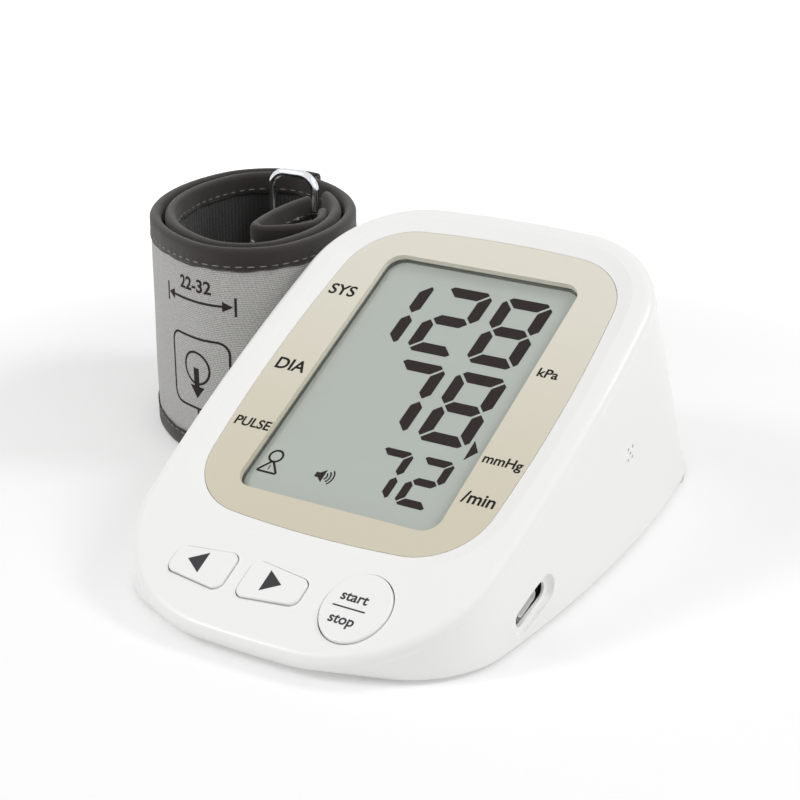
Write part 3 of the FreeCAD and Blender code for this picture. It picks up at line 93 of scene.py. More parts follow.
class MonitorFace(bpy.types.PropertyGroup):
    """Sloping face with the display, its lettering and the keys."""

    tilt: FloatProperty(name="Tilt", description="Slope of the face", subtype="ANGLE",
                        default=math.radians(27.5))
    window_depth: size("Window depth", "Middle of the clear window below the bezel", 2.1 * MM)
    glass_depth: size("Glass depth", "Top of the display glass below the bezel", 2.6 * MM)
    window_wide: size("Window width", "Open width of the display", 60 * MM)
    window_tall: size("Window length", "Open length of the display", 89 * MM)
    key_rise: size("Key rise", "Top of the keys above the bezel", 2.1 * MM)
    ink: size("Ink", "Thickness of a printed mark", 0.05 * MM)
    reading_high: StringProperty(name="High", description="Upper reading", default="128")
    reading_low: StringProperty(name="Low", description="Lower reading", default="78")
    reading_pulse: StringProperty(name="Pulse", description="Pulse reading", default="72")
    digit_height: size("Digit height", "Height of a large digit", 25.2 * MM)
    digit_width: size("Digit width", "Width of a large digit", 15.2 * MM)
    digit_pitch: size("Digit pitch", "Step from one large digit to the next", 18.4 * MM)
    small_share: FloatProperty(name="Small share", description="Pulse digits against large ones",
                               default=0.655)
    slant: FloatProperty(name="Slant", description="Lean of the digits", subtype="ANGLE",
                         default=math.radians(1.7))
    digits_right: size("Digits right", "Right-hand edge of the large digits", 23.9 * MM)
    high_foot: size("High foot", "Lower edge of the upper reading", 13 * MM)
    low_foot: size("Low foot", "Lower edge of the lower reading", -15.6 * MM)
    pulse_foot: size("Pulse foot", "Lower edge of the pulse reading", -36.8 * MM)
    pulse_inset: size("Pulse inset", "Pulse digits inside the right-hand edge", 0.5 * MM)
    # The grey line round the glass is painted shade along the window's edge.
    edge_shade_line: size("Seal line", "Width of the seal round the glass", 0.5 * MM)
    edge_shade_inset: size("Seal inset", "Seal inside the window, both sides together", 0.3 * MM)
    edge_shade_corner: size("Seal corner", "Corner radius of the seal", 4.9 * MM)
    sign_line: size("Sign line", "Width of a sign's line", 0.62 * MM)
    wave_line: size("Wave line", "Width of the sound waves", 0.42 * MM)
    letter: size("Letter", "Height of the bezel lettering", 5.6 * MM)
    key_letter: size("Key letter", "Height of the lettering on the round key", 4 * MM)
    key_line: size("Key line", "Width of the line on the round key", 0.4 * MM)


class MonitorFinish(bpy.types.PropertyGroup):
    """Colours of the monitor."""

    housing: colour("Housing", "White gloss plastic", 249, 249, 248)
    # The bezel's colour runs from this top colour down to a darker foot colour: painted light and shade,
    # lighter up the slope and darker at its foot.
    bezel: colour("Bezel", "Warm beige bezel, at its top", 229, 225, 211)
    bezel_shaded_foot: colour("Low bezel", "Warm beige bezel, at its foot", 215, 208, 187)
    glass: colour("Glass", "Grey-green display", 188, 195, 188)
    segment: colour("Segment", "Dark display segments", 38, 29, 27)
    print: colour("Print", "Printed lettering", 32, 30, 30)
    mark: colour("Mark", "Grey marks on the keys", 66, 66, 68)


class CuffSizes(bpy.types.PropertyGroup):
    """Rolled cuff: an oval spiral of quarter arcs, from the outer end inwards."""

    middle_x: size("Middle x", "Middle of the roll across", -89 * MM)
    behind_face: size("Behind face", "Middle of the roll behind the window's middle", 57.7 * MM)
    turn: FloatProperty(name="Turn", description="Lean of the oval", default=31)
    half_width: size("Half width", "Half the slim way of the oval", 33.4 * MM)
    half_depth: size("Half depth", "Half the long way of the oval", 47.6 * MM)
    thick: size("Thickness", "Cloth and padding together", 2.6 * MM)
    spacing: size("Spacing", "Air between two turns", 2 * MM)
    quarters: IntProperty(name="Quarters", description="Quarter arcs in the roll", default=8)
    last_sweep: FloatProperty(name="Last sweep", description="Degrees of the last arc", default=67)
    height: size("Height", "Height of the rolled cuff", 67 * MM)
    lining: size("Lining", "Thickness of the lining", 1 * MM)
    tape: size("Tape", "Thickness of the binding tape", 0.4 * MM)
    tape_height: size("Tape height", "Binding from the rim to its lower edge", 6.6 * MM)
    rib_pitch: size("Rib pitch", "Step of the lining's ribs", 1.5 * MM)
    ring_onward: size("Ring onward", "Ring pivot past the inner end", 2.6 * MM)
    ring_inward: size("Ring inward", "Ring pivot inside the inner end", 3 * MM)
    sleeve_radius: size("Sleeve radius", "Cloth loop round the ring", 3.2 * MM)
    tail_thick: size("Tail thickness", "Folded strap end", 2.4 * MM)
    tail_drop: size("Tail drop", "Strap end below the rim", 1.2 * MM)
    end_reach: size("End reach", "Width of the tape round the upright outer end", 7 * MM)
    tail_gap: size("Tail gap", "Air between the strap end and the roll's inner wall", 0.6 * MM)
    tail_low: size("Tail low", "Lower edge of the strap end", 20 * MM)
    crown: size("Crown", "Swell of the padded cloth", 0.35 * MM)
    crown_power: FloatProperty(name="Crown power", description="Below 1 makes the swell blunt", default=0.55)
    pucker: size("Pucker", "Height of the puckers under the rim", 0.11 * MM)
    pucker_reach: size("Pucker reach", "Fading of the puckers below the rim", 5 * MM)
    sway: size("Sway", "Height of the long waves", 0.16 * MM)
    tuck: size("Tuck", "Cloth drawn in under the end tape", 0.04 * MM)
    settle_reach: size("Settle reach", "Cloth swells to its full form past the end tape", 6 * MM)
    stitch: size("Stitch", "Length of one stitch", 2.3 * MM)
    stitch_pitch: size("Stitch pitch", "Step from stitch to stitch", 3.5 * MM)
    thread: size("Thread", "Thickness of the thread", 0.34 * MM)
    print_along: size("Print along", "Middle of the print along the cloth", 121.5 * MM)
    print_height: size("Print height", "Middle of the print's range mark", 49.5 * MM)
    print_scale: FloatProperty(name="Print scale", description="Size of the print", default=1.18)
    print_line: size("Print line", "Width of a printed line before scaling", 0.55 * MM)
    print_letter: size("Print letter", "Height of the printed range before scaling", 4.6 * MM)


class CuffFinish(bpy.types.PropertyGroup):
    """Colours of the cuff."""

    cloth: colour("Cloth", "Light grey woven cloth", 205, 204, 201)
    shade: colour("Shade", "Cloth between its threads", 146, 146, 143)
    lining: colour("Lining", "Dark ribbed lining", 31, 32, 30)
    binding: colour("Binding", "Dark taupe binding", 45, 41, 38)
    thread: colour("Thread", "Pale sewing thread", 150, 148, 142)
    print: colour("Print", "Dark print on the cloth", 48, 42, 40)


def settings(name):
    return getattr(bpy.context.scene, name)


# Shader maths

class Value:
    """Socket of a material that takes part in plain arithmetic."""

    def __init__(self, finish, socket):
        self.finish = finish
        self.socket = socket

    def __add__(self, other):
        return self.finish.maths("ADD", self, other)

    def __radd__(self, other):
        return self.finish.maths("ADD", other, self)

    def __sub__(self, other):
        return self.finish.maths("SUBTRACT", self, other)

    def __rsub__(self, other):
        return self.finish.maths("SUBTRACT", other, self)

    def __mul__(self, other):
        return self.finish.maths("MULTIPLY", self, other)

    def __rmul__(self, other):
        return self.finish.maths("MULTIPLY", other, self)

    def sine(self):
        return self.finish.maths("SINE", self)

    def size(self):
        return self.finish.maths("ABSOLUTE", self)

    def floor(self):
        return self.finish.maths("FLOOR", self)

    def rise(self, low, high):
        """Smooth step from 0 at low to 1 at high."""
        limits = {"Value": self, "From Min": low, "From Max": high}
        return self.finish.node("ShaderNodeMapRange", {"interpolation_type": "SMOOTHSTEP"}, limits)


class Finish:
    """Material with one main shader and helpers for its nodes."""

    def __init__(self, name, **constants):
        self.material = bpy.data.materials.new(name)
        self.material.use_nodes = True
        self.nodes = self.material.node_tree.nodes
        self.links = self.material.node_tree.links
        self.shader = self.nodes["Principled BSDF"]
        for socket, value in constants.items():
            self.shader.inputs[socket.replace("_", " ").title().replace("Ior", "IOR")].default_value = value

    def feed(self, socket, value):
        if isinstance(value, Value):
            self.links.new(value.socket, socket)
        elif hasattr(socket.default_value, "__len__") and len(socket.default_value) == 4:
            socket.default_value = (*value, 1)
        else:
            socket.default_value = value

    def node(self, kind, options, values, output=0):
        made = self.nodes.new(kind)
        for option, value in options.items():
            setattr(made, option, value)
        for socket, value in values.items():
            self.feed(made.inputs[socket], value)
        return Value(self, made.outputs[output])

    def maths(self, operation, first, second=0.0):
        return self.node("ShaderNodeMath", {"operation": operation}, {0: first, 1: second})

    def place(self):
        return self.node("ShaderNodeTexCoord", {}, {}, "Object")

    def axes(self, vector):
        made = self.nodes.new("ShaderNodeSeparateXYZ")
        self.feed(made.inputs[0], vector)
        return [Value(self, output) for output in made.outputs]

    def cloth_axes(self):
        """Distance along the strip and across it, in metres."""
        return self.axes(self.node("ShaderNodeUVMap", {"uv_map": "cloth"}, {}))[:2]

    def point(self, x, y, z=0.0):
        return self.node("ShaderNodeCombineXYZ", {}, {0: x, 1: y, 2: z})

    def noise(self, vector, scale, detail=3.0, roughness=0.55):
        return self.node("ShaderNodeTexNoise", {},
                         {"Vector": vector, "Scale": scale, "Detail": detail, "Roughness": roughness})

    def cells(self, vector, scale):
        return self.node("ShaderNodeTexVoronoi", {}, {"Vector": vector, "Scale": scale})

    def mix(self, share, first, second):
        return self.node("ShaderNodeMix", {"data_type": "RGBA"}, {0: share, 6: first, 7: second}, 2)

    def shade(self, base, share):
        """Base colour made darker or lighter by a varying share."""
        return self.node("ShaderNodeMix", {"data_type": "RGBA", "blend_type": "MULTIPLY"},
                         {0: 1.0, 6: base, 7: self.point(share, share, share)}, 2)

    def set(self, **sockets):
        for socket, value in sockets.items():
            self.feed(self.shader.inputs[socket.replace("_", " ").title()], value)
        return self

    def bump(self, height, distance, strength=1.0):
        values = {"Height": height, "Distance": distance, "Strength": strength}
        self.feed(self.shader.inputs["Normal"], self.node("ShaderNodeBump", {}, values))
        return self


finishes = {}


def finish(maker):
    """Make each material once and hand the same one out again."""
    def get():
        if maker.__name__ not in finishes:
            finishes[maker.__name__] = maker().material
        return finishes[maker.__name__]
    return get


@finish
def white_housing():
    made = Finish("white_housing", coat_weight=0.3, coat_roughness=0.12, ior=1.5)
    spot = made.place()
    cloud = made.noise(spot, 22, 2)
    grain = made.noise(spot, 2600, 2)
    made.set(base_color=made.shade(settings("monitor_finish").housing, 0.985 + cloud * 0.03),
             roughness=0.4 + grain * 0.06 + cloud * 0.05)
    return made.bump(grain, 0.008 * MM, 0.35)


@finish
def beige_bezel():
    made = Finish("beige_bezel", ior=1.48)
    spot = made.place()
    grain = made.noise(spot, 3200, 3)
    cloud = made.noise(spot, 30, 2)
    colours = settings("monitor_finish")
    low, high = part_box("display_bezel")
    # Painted light and shade: the bezel's colour turns lighter up the slope and darker towards its foot.
    climb = made.axes(spot)[1].rise(low.y, high.y)
    tone = made.mix(climb, colours.bezel_shaded_foot, colours.bezel)
    made.set(base_color=made.shade(tone, 0.97 + grain * 0.03 + cloud * 0.03), roughness=0.4 + grain * 0.12)
    return made.bump(grain, 0.012 * MM, 0.5)


@finish
def display_glass():
    made = Finish("display_glass", ior=1.45)
    spot = made.place()
    x, _, z = made.axes(spot)
    pixel_wide, pixel_tall = 0.42 * MM, 0.2 * MM
    pixel = (x * (TURN / pixel_wide)).sine() * (z * (TURN / pixel_tall)).sine()
    cloud = made.noise(spot, 26, 2)
    made.set(base_color=made.shade(settings("monitor_finish").glass, 0.965 + cloud * 0.06 + pixel * 0.008),
             roughness=0.42 + cloud * 0.1)
    return made


@finish
def clear_window():
    made = Finish("clear_window", ior=1.46, specular_ior_level=0.25)
    smear = made.noise(made.place(), 60, 3)
    made.set(base_color=(0.3, 0.31, 0.3), alpha=0.02 + smear * 0.02, roughness=0.04 + smear * 0.06)
    made.material.surface_render_method = "BLENDED"
    return made


def plain_ink(name, base, rough):
    made = Finish(name, specular_ior_level=0.12)
    speck = made.noise(made.place(), 4200, 2)
    return made.set(base_color=made.shade(base, 0.9 + speck * 0.2), roughness=rough + speck * 0.2)


@finish
def segment_ink():
    return plain_ink("segment_ink", settings("monitor_finish").segment, 0.45)


# Grey ink for the painted shade round the display's glass.
@finish
def edge_shade_ink():
    return plain_ink("edge_shade_ink", linear(116, 118, 113), 0.6)


@finish
def face_ink():
    return plain_ink("face_ink", settings("monitor_finish").print, 0.5)


@finish
def key_ink():
    return plain_ink("key_ink", settings("monitor_finish").mark, 0.5)


@finish
def cloth_ink():
    return plain_ink("cloth_ink", settings("cuff_finish").print, 0.75)


def moulded(name, base, rough, grain_scale=1800, grain_depth=0.02):
    """Moulded plastic or rubber with a fine grain."""
    made = Finish(name)
    spot = made.place()
    grain = made.noise(spot, grain_scale, 3)
    cloud = made.noise(spot, 45, 2)
    made.set(base_color=made.shade(linear(*base), 0.86 + grain * 0.14 + cloud * 0.14),
             roughness=rough + grain * 0.14)
    return made.bump(grain, grain_depth * MM, 0.5)


@finish
def foot_rubber():
    return moulded("foot_rubber", (212, 212, 210), 0.7, 1400, 0.05)


@finish
def dark_plastic():
    return moulded("dark_plastic", (46, 46, 48), 0.45)


@finish
def port_painted_glow():
    """Pale plastic with a faint glow of its own: painted light that keeps the port's hollow pale."""
    made = Finish("port_painted_glow", roughness=0.45, emission_strength=0.16)
    speck = made.noise(made.place(), 2400, 2)
    tone = made.shade(linear(200, 200, 198), 0.95 + speck * 0.05)
    made.set(base_color=tone, emission_color=tone)
    return made


@finish
def pale_plastic():
    return moulded("pale_plastic", (226, 226, 222), 0.42)


@finish
def grey_fitting():
    return moulded("grey_fitting", (120, 120, 120), 0.42)


@finish
def switch_red():
    return moulded("switch_red", (170, 44, 40), 0.4)


@finish
def air_tubing():
    return moulded("air_tubing", (214, 214, 208), 0.5, 700, 0.02)


def metal(name, base, rough, stretch):
    """Metal with fine lines drawn along one axis."""
    made = Finish(name, metallic=1.0)
    x, y, z = made.axes(made.place())
    lines = made.noise(made.point(x * stretch[0], y * stretch[1], z * stretch[2]), 900, 3)
    tarnish = made.noise(made.place(), 70, 3)
    made.set(base_color=made.shade(linear(*base), 0.84 + lines * 0.16 + tarnish * 0.12),
             roughness=rough + lines * 0.16 + tarnish * 0.08)
    return made.bump(lines, 0.01 * MM, 0.4)


@finish
def drawn_steel():
    return metal("drawn_steel", (196, 198, 202), 0.24, (0.06, 1, 1))


@finish
def polished_chrome():
    return metal("polished_chrome", (226, 228, 232), 0.03, (1, 1, 0.08))


@finish
def copper_winding():
    made = Finish("copper_winding", metallic=0.9)
    z = made.axes(made.place())[2]
    wire = 0.5 * MM
    turns = (z * (TURN / wire)).sine()
    made.set(base_color=made.shade(linear(206, 122, 70), 0.86 + turns * 0.16), roughness=0.34 - turns * 0.06)
    return made.bump(turns, 0.06 * MM)


@finish
def circuit_board():
    made = Finish("circuit_board", coat_weight=0.3, coat_roughness=0.2)
    spot = made.place()
    x, y, z = made.axes(spot)
    lane = made.cells(made.point(x, y * 0.4, z), 420)
    track = (lane - 0.32).size().rise(0.0, 0.07)
    pad = made.cells(spot, 260).rise(0.12, 0.2)
    coat = made.mix(track, linear(70, 132, 84), linear(24, 84, 48))
    made.set(base_color=made.mix(pad, linear(196, 176, 120), coat), roughness=0.34 + track * 0.1)
    return made


@finish
def cell_jacket():
    made = Finish("cell_jacket", coat_weight=0.4, coat_roughness=0.15)
    spot = made.place()
    y = made.axes(spot)[1]
    low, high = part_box("batteries")
    share = (y - low.y) * (1 / (high.y - low.y))
    band = share.rise(0.72, 0.73)
    scuff = made.noise(spot, 160, 3)
    jacket = made.mix(band, linear(52, 66, 84), linear(196, 176, 124))
    made.set(base_color=made.shade(jacket, 0.9 + scuff * 0.16), roughness=0.3 + scuff * 0.16, metallic=0.35)
    return made


@finish
def woven_cloth():
    made = Finish("woven_cloth", sheen_weight=0.25, sheen_roughness=0.5, specular_ior_level=0.25)
    colours = settings("cuff_finish")
    along, across = made.cloth_axes()
    spot = made.point(along, across)
    drift = made.noise(spot, 150, 2)
    slub = made.noise(made.point(along * 0.5, across), 1500, 2)
    row_pitch, dash_pitch, wander = 0.56 * MM, 1.05 * MM, 0.8 * MM
    row = (across + drift * wander) * (1 / row_pitch)
    stagger = (row * 0.5).floor() * 0.37
    dash = ((along * (1 / dash_pitch) + stagger + drift * 2) * TURN).sine() * 0.5 + 0.5
    weft = (row * TURN).sine() * 0.5 + 0.5
    thread = weft * (0.45 + dash * 0.55) * 0.7 + slub * 0.5
    fuzz = made.noise(spot, 4200, 3)
    cloud = made.noise(spot, 60, 3)
    tone = made.mix(thread.rise(0.1, 0.9), colours.shade, colours.cloth)
    made.set(base_color=made.shade(tone, 0.86 + fuzz * 0.16 + cloud * 0.1), roughness=0.82 + fuzz * 0.14)
    return made.bump(thread + fuzz * 0.25, 0.14 * MM, 0.7)


@finish
def ribbed_lining():
    made = Finish("ribbed_lining", sheen_weight=0.35, sheen_roughness=0.6, specular_ior_level=0.2)
    along, across = made.cloth_axes()
    spot = made.point(along, across)
    rib = (along * (TURN / settings("cuff_sizes").rib_pitch)).sine() * 0.5 + 0.5
    loop = made.cells(made.point(along, across * 0.7), 1500)
    fuzz = made.noise(spot, 3600, 3)
    made.set(base_color=made.shade(settings("cuff_finish").lining, 0.5 + rib * 0.5 + fuzz * 0.3 + loop * 0.3),
             roughness=0.88 + fuzz * 0.1)
    return made.bump(loop + fuzz * 0.6 + rib, 0.12 * MM)


@finish
def binding_tape():
    made = Finish("binding_tape", sheen_weight=0.3, sheen_roughness=0.45, specular_ior_level=0.3)
    along, across = made.cloth_axes()
    spot = made.point(along, across)
    rib_pitch, yarn_pitch = 0.36 * MM, 0.3 * MM
    rib = ((across + along * 0.35) * (TURN / rib_pitch)).sine() * 0.5 + 0.5
    yarn = (along * (TURN / yarn_pitch)).sine() * 0.5 + 0.5
    cloud = made.noise(spot, 90, 3)
    fuzz = made.noise(spot, 4200, 3)
    tone = 0.74 + rib * 0.1 + fuzz * 0.16 + cloud * 0.24
    made.set(base_color=made.shade(settings("cuff_finish").binding, tone),
             roughness=0.62 + fuzz * 0.16 + cloud * 0.1)
    return made.bump(rib * 0.7 + yarn * 0.3 + fuzz * 0.5, 0.06 * MM)


@finish
def sewing_thread():
    made = Finish("sewing_thread", sheen_weight=0.3, sheen_roughness=0.4)
    x, y, z = made.axes(made.place())
    ply_pitch = 0.32 * MM
    ply = ((x + y + z * 1.6) * (TURN / ply_pitch)).sine() * 0.5 + 0.5
    made.set(base_color=made.shade(settings("cuff_finish").thread, 0.72 + ply * 0.34),
             roughness=0.7 + ply * 0.1)
    return made.bump(ply, 0.04 * MM)


# Pieces

def add_piece(name, mesh, material, body):
    """Put a finished mesh in the scene and let it ride on a body."""
    piece = bpy.data.objects.new(name, mesh)
    bpy.context.scene.collection.objects.link(piece)
    if material:
        mesh.materials.clear()
        mesh.materials.append(material)
    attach(piece, body)
    return piece


def finished_mesh(name, bm, smooth=True):
    """Close the doubles of a mesh under construction and turn its faces outwards."""
    bmesh.ops.remove_doubles(bm, verts=bm.verts, dist=1e-7)
    bmesh.ops.recalc_face_normals(bm, faces=bm.faces)
    for face in bm.faces:
        face.smooth = smooth
    mesh = bpy.data.meshes.new(name)
    bm.to_mesh(mesh)
    bm.free()
    return mesh


def dress(material, *nodes):
    for name in nodes:
        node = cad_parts[name]
        node.data.materials.clear()
        node.data.materials.append(material)


def face_point(x, y, h=0.0):
    """Point of the sloping face: across, up the slope and out of it, from the window's middle."""
    face = settings("monitor_face")
    up = Vector((0, math.cos(face.tilt), math.sin(face.tilt)))
    out = Vector((0, -math.sin(face.tilt), math.cos(face.tilt)))
    low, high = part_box("display_window")
    origin = (low + high) / 2 + out * face.window_depth
    return origin + Vector((x, 0, 0)) + up * y + out * h


def prism(bm, outline, place, low, high):
    """Flat plate with a given outline between two levels."""
    floor = [bm.verts.new(place(x, y, low)) for x, y in outline]
    roof = [bm.verts.new(place(x, y, high)) for x, y in outline]
    bm.faces.new(roof)
    bm.faces.new(floor[::-1])
    count = len(outline)
    for index in range(count):
        after = (index + 1) % count
        bm.faces.new((floor[index], floor[after], roof[after], roof[index]))


def stroke(bm, points, width, place, low, high, closed=False):
    """Printed line of even width along a chain of points."""
    spots = [Vector(point) for point in points]
    count = len(spots)

    def sides(index):
        before = spots[(index - 1) % count] if closed or index else spots[index]
        after = spots[(index + 1) % count] if closed or index < count - 1 else spots[index]
        way = (after - before).normalized()
        leg = (spots[index] - before).normalized() if (spots[index] - before).length else way
        reach = width / 2 / max(0.5, way.dot(leg))
        across = Vector((-way.y, way.x)) * reach
        return spots[index] + across, spots[index] - across

    edges = [sides(index) for index in range(count)]
    rows = [[bm.verts.new(place(point.x, point.y, level)) for level in (low, high) for point in pair]
            for pair in edges]
    links = range(count if closed else count - 1)
    for index in links:
        a, b = rows[index], rows[(index + 1) % count]
        for first, second in ((0, 1), (1, 3), (3, 2), (2, 0)):
            bm.faces.new((a[first], a[second], b[second], b[first]))
    if not closed:
        bm.faces.new([rows[0][k] for k in (0, 1, 3, 2)])
        bm.faces.new([rows[-1][k] for k in (2, 3, 1, 0)])


def arc_points(middle, radius, first, last, count):
    x, y = middle
    angles = [math.radians(first + (last - first) * step / count) for step in range(count + 1)]
    return [(x + radius * math.cos(angle), y + radius * math.sin(angle)) for angle in angles]


def rounded_box(middle, wide, tall, corner, steps=6):
    """Closed outline of a rectangle with round corners."""
    points = []
    for x, y, first in ((1, 1, 0), (-1, 1, 90), (-1, -1, 180), (1, -1, 270)):
        centre = (middle[0] + x * (wide / 2 - corner), middle[1] + y * (tall / 2 - corner))
        points += arc_points(centre, corner, first, first + 90, steps)
    return points


def word(bm, text, letter, middle, place, low, high):
    """Lettering centred on a point."""
    curve = bpy.data.curves.new(text, "FONT")
    curve.body = text
    curve.size = letter
    curve.offset = letter * 0.018
    curve.align_x = "CENTER"
    curve.align_y = "CENTER"
    curve.resolution_u = 6
    maker = bpy.data.objects.new(text, curve)
    bpy.context.scene.collection.objects.link(maker)
    bpy.context.view_layer.update()
    flat = bpy.data.meshes.new_from_object(maker.evaluated_get(bpy.context.evaluated_depsgraph_get()))
    plate = bmesh.new()
    plate.from_mesh(flat)
    bmesh.ops.remove_doubles(plate, verts=plate.verts, dist=letter * 1e-4)
    corners = {}
    for level in (low, high):
        for vert in plate.verts:
            x, y = vert.co.x + middle[0], vert.co.y + middle[1]
            corners[vert.index, level] = bm.verts.new(place(x, y, level))
    for face in plate.faces:
        ring = [vert.index for vert in face.verts]
        bm.faces.new([corners[index, high] for index in ring])
        bm.faces.new([corners[index, low] for index in reversed(ring)])
    for edge in plate.edges:
        if edge.is_boundary:
            a, b = (vert.index for vert in edge.verts)
            bm.faces.new((corners[a, low], corners[b, low], corners[b, high], corners[a, high]))
    plate.free()
    bpy.data.objects.remove(maker)
    bpy.data.curves.remove(curve)
    bpy.data.meshes.remove(flat)


# Display

SEGMENTS_LIT = {
    "0": "abcdef", "1": "bc", "2": "abged", "3": "abgcd", "4": "fgbc",
    "5": "afgcd", "6": "afgedc", "7": "abc", "8": "abcdefg", "9": "abcdfg",
}


def segment_outlines(width, height):
    """Seven display segments of one digit, each a bevelled bar, from the digit's lower left."""
    bar = 0.235 * width
    gap = 0.035 * width
    cut_off = 0.12 * width
    waist = height / 2

    def level(sign):
        """Top bar for sign 1 and bottom bar for sign -1, before they are moved to their heights."""
        return [(cut_off / 2 + gap, -sign * cut_off / 2), (cut_off + gap, 0), (width - cut_off - gap, 0),
                (width - cut_off / 2 - gap, -sign * cut_off / 2), (width - bar - gap, -sign * bar),
                (bar + gap, -sign * bar)]

    def upright(sign):
        """Left upper bar for sign 1 and left lower bar for sign -1, about the waist."""
        reach = height / 2
        return [(bar / 2, sign * gap), (0, sign * (bar / 2 + gap)), (0, sign * (reach - cut_off - gap)),
                (cut_off / 2, sign * (reach - cut_off / 2 - gap)), (bar, sign * (reach - bar - gap)),
                (bar, sign * (bar / 2 + gap))]

    def mirrored(points):
        return [(width - x, y) for x, y in points]

    def raised(points, rise):
        return [(x, y + rise) for x, y in points]

    half = bar / 2
    middle = [(half + gap, 0), (bar + gap, half), (width - bar - gap, half), (width - half - gap, 0),
              (width - bar - gap, -half), (bar + gap, -half)]
    return {
        "a": raised(level(1), height),
        "b": raised(mirrored(upright(1)), waist),
        "c": raised(mirrored(upright(-1)), waist),
        "d": level(-1),
        "e": raised(upright(-1), waist),
        "f": raised(upright(1), waist),
        "g": raised(middle, waist),
    }


def lay_digits(bm, text, right, bottom, share):
    """Row of digits, at a share of the large size, that ends at a right-hand edge."""
    face = settings("monitor_face")
    width, height = face.digit_width * share, face.digit_height * share
    shapes = segment_outlines(width, height)
    lean = math.tan(face.slant)
    for place_from_right, digit in enumerate(reversed(text)):
        left = right - width - place_from_right * face.digit_pitch * share
        for letter in SEGMENTS_LIT[digit]:
            outline = [(left + x + (y - height / 2) * lean, bottom + y) for x, y in shapes[letter]]
            prism(bm, outline, face_point, -face.glass_depth, -face.glass_depth + face.ink)


def rounded_triangle(middle, wide, tall, corner, steps=5):
    """Closed outline of a triangle that stands on its base, with rounded corners."""
    x, y = middle
    corners = [(x - wide / 2, y - tall / 2), (x + wide / 2, y - tall / 2), (x, y + tall / 2)]
    points = []
    for index, spot in enumerate(corners):
        here = Vector(spot)
        before = (Vector(corners[index - 1]) - here).normalized()
        after = (Vector(corners[(index + 1) % 3]) - here).normalized()
        start, end = here + before * corner, here + after * corner
        for step in range(steps + 1):
            share = step / steps
            left = 1 - share
            points.append(tuple(start * left ** 2 + here * (2 * share * left) + end * share ** 2))
    return points


class MONITOR_OT_display(bpy.types.Operator):
    """Make the display: glass, clear window, digits and signs"""

    bl_idname = "monitor.display"
    bl_label = "Display"

    def execute(self, context):
        dress(display_glass(), "lcd_panel")
        dress(clear_window(), "display_window")
        face = settings("monitor_face")
        rows = ((face.reading_high, face.digits_right, face.high_foot, 1),
                (face.reading_low, face.digits_right, face.low_foot, 1),
                (face.reading_pulse, face.digits_right - face.pulse_inset, face.pulse_foot, face.small_share))
        digits = bmesh.new()
        for reading, right, foot, share in rows:
            lay_digits(digits, reading, right, foot, share)
        mesh = finished_mesh("display_digits", digits, smooth=False)
        add_piece("display_digits", mesh, segment_ink(), "monitor")
        self.signs(face)
        self.edge_shade(face)
        return {"FINISHED"}

    def edge_shade(self, face):
        """Grey line round the glass, under the bezel's edge: painted shade where the bezel's edge meets the
        glass.
        """
        low, high = -face.glass_depth, -face.glass_depth + 4 * face.ink
        wide, tall = face.window_wide - face.edge_shade_inset, face.window_tall - face.edge_shade_inset
        edge_shade = bmesh.new()
        stroke(edge_shade, rounded_box((0, 0), wide, tall, face.edge_shade_corner), face.edge_shade_line, face_point, low, high,
               closed=True)
        add_piece("display_edge_shade", finished_mesh("display_edge_shade", edge_shade, smooth=False), edge_shade_ink(), "monitor")

    def signs(self, face):
        """User sign, sounding horn and the pointer beside the unit."""
        levels = -face.glass_depth, -face.glass_depth + face.ink
        signs = bmesh.new()
        self.user_sign(face, signs, levels)
        self.horn(face, signs, levels)
        base, tip, middle, half = 24.6 * MM, 27.1 * MM, -15.4 * MM, 3.4 * MM
        pointer = [(base, middle - half), (tip, middle), (base, middle + half)]
        prism(signs, pointer, face_point, *levels)
        add_piece("display_signs", finished_mesh("display_signs", signs, smooth=False), segment_ink(),
                  "monitor")

    def user_sign(self, face, signs, levels):
        """Ring for a head over a rounded triangle with the user's number."""
        head, head_radius = (-25.1 * MM, -31.5 * MM), 1.9 * MM
        body, wide, tall, corner = (-25 * MM, -35.1 * MM), 6.2 * MM, 4 * MM, 0.8 * MM
        number, letter = (-25 * MM, -35.5 * MM), 2 * MM
        stroke(signs, arc_points(head, head_radius, 0, 348, 29), face.sign_line, face_point, *levels,
               closed=True)
        stroke(signs, rounded_triangle(body, wide, tall, corner), face.sign_line, face_point, *levels,
               closed=True)
        word(signs, "1", letter, number, face_point, *levels)

    def horn(self, face, signs, levels):
        """Loudspeaker with three sound waves."""
        x, y = -9.4 * MM, -33.9 * MM
        back, neck, mouth = x - 2 * MM, x - 0.9 * MM, x + 0.6 * MM
        slim, wide = 0.8 * MM, 2.1 * MM
        first_wave, wave_step, half_angle = 1.5 * MM, 0.95 * MM, 42
        outline = [(back, y - slim), (neck, y - slim), (mouth, y - wide),
                   (mouth, y + wide), (neck, y + slim), (back, y + slim)]
        prism(signs, outline, face_point, *levels)
        for wave in range(3):
            bow = arc_points((x, y), first_wave + wave_step * wave, -half_angle, half_angle, 8)
            stroke(signs, bow, face.wave_line, face_point, *levels)


# Housing and lettering

class MONITOR_OT_housing(bpy.types.Operator):
    """Finish the covers, bezel, keys, door and feet"""

    bl_idname = "monitor.housing"
    bl_label = "Housing"

    def execute(self, context):
        dress(white_housing(), "top_cover", "bottom_cover", "battery_door",
              "left_arrow_button", "right_arrow_button", "start_stop_button")
        dress(beige_bezel(), "display_bezel")
        dress(foot_rubber(), "rubber_feet", "socket_seal")
        dress(pale_plastic(), "air_socket")
        dress(drawn_steel(), "housing_screws")
        # The port's shell and tongue glow a little: painted light in the port's hollow.
        dress(port_painted_glow(), "port_shell", "port_tongue")
        return {"FINISHED"}


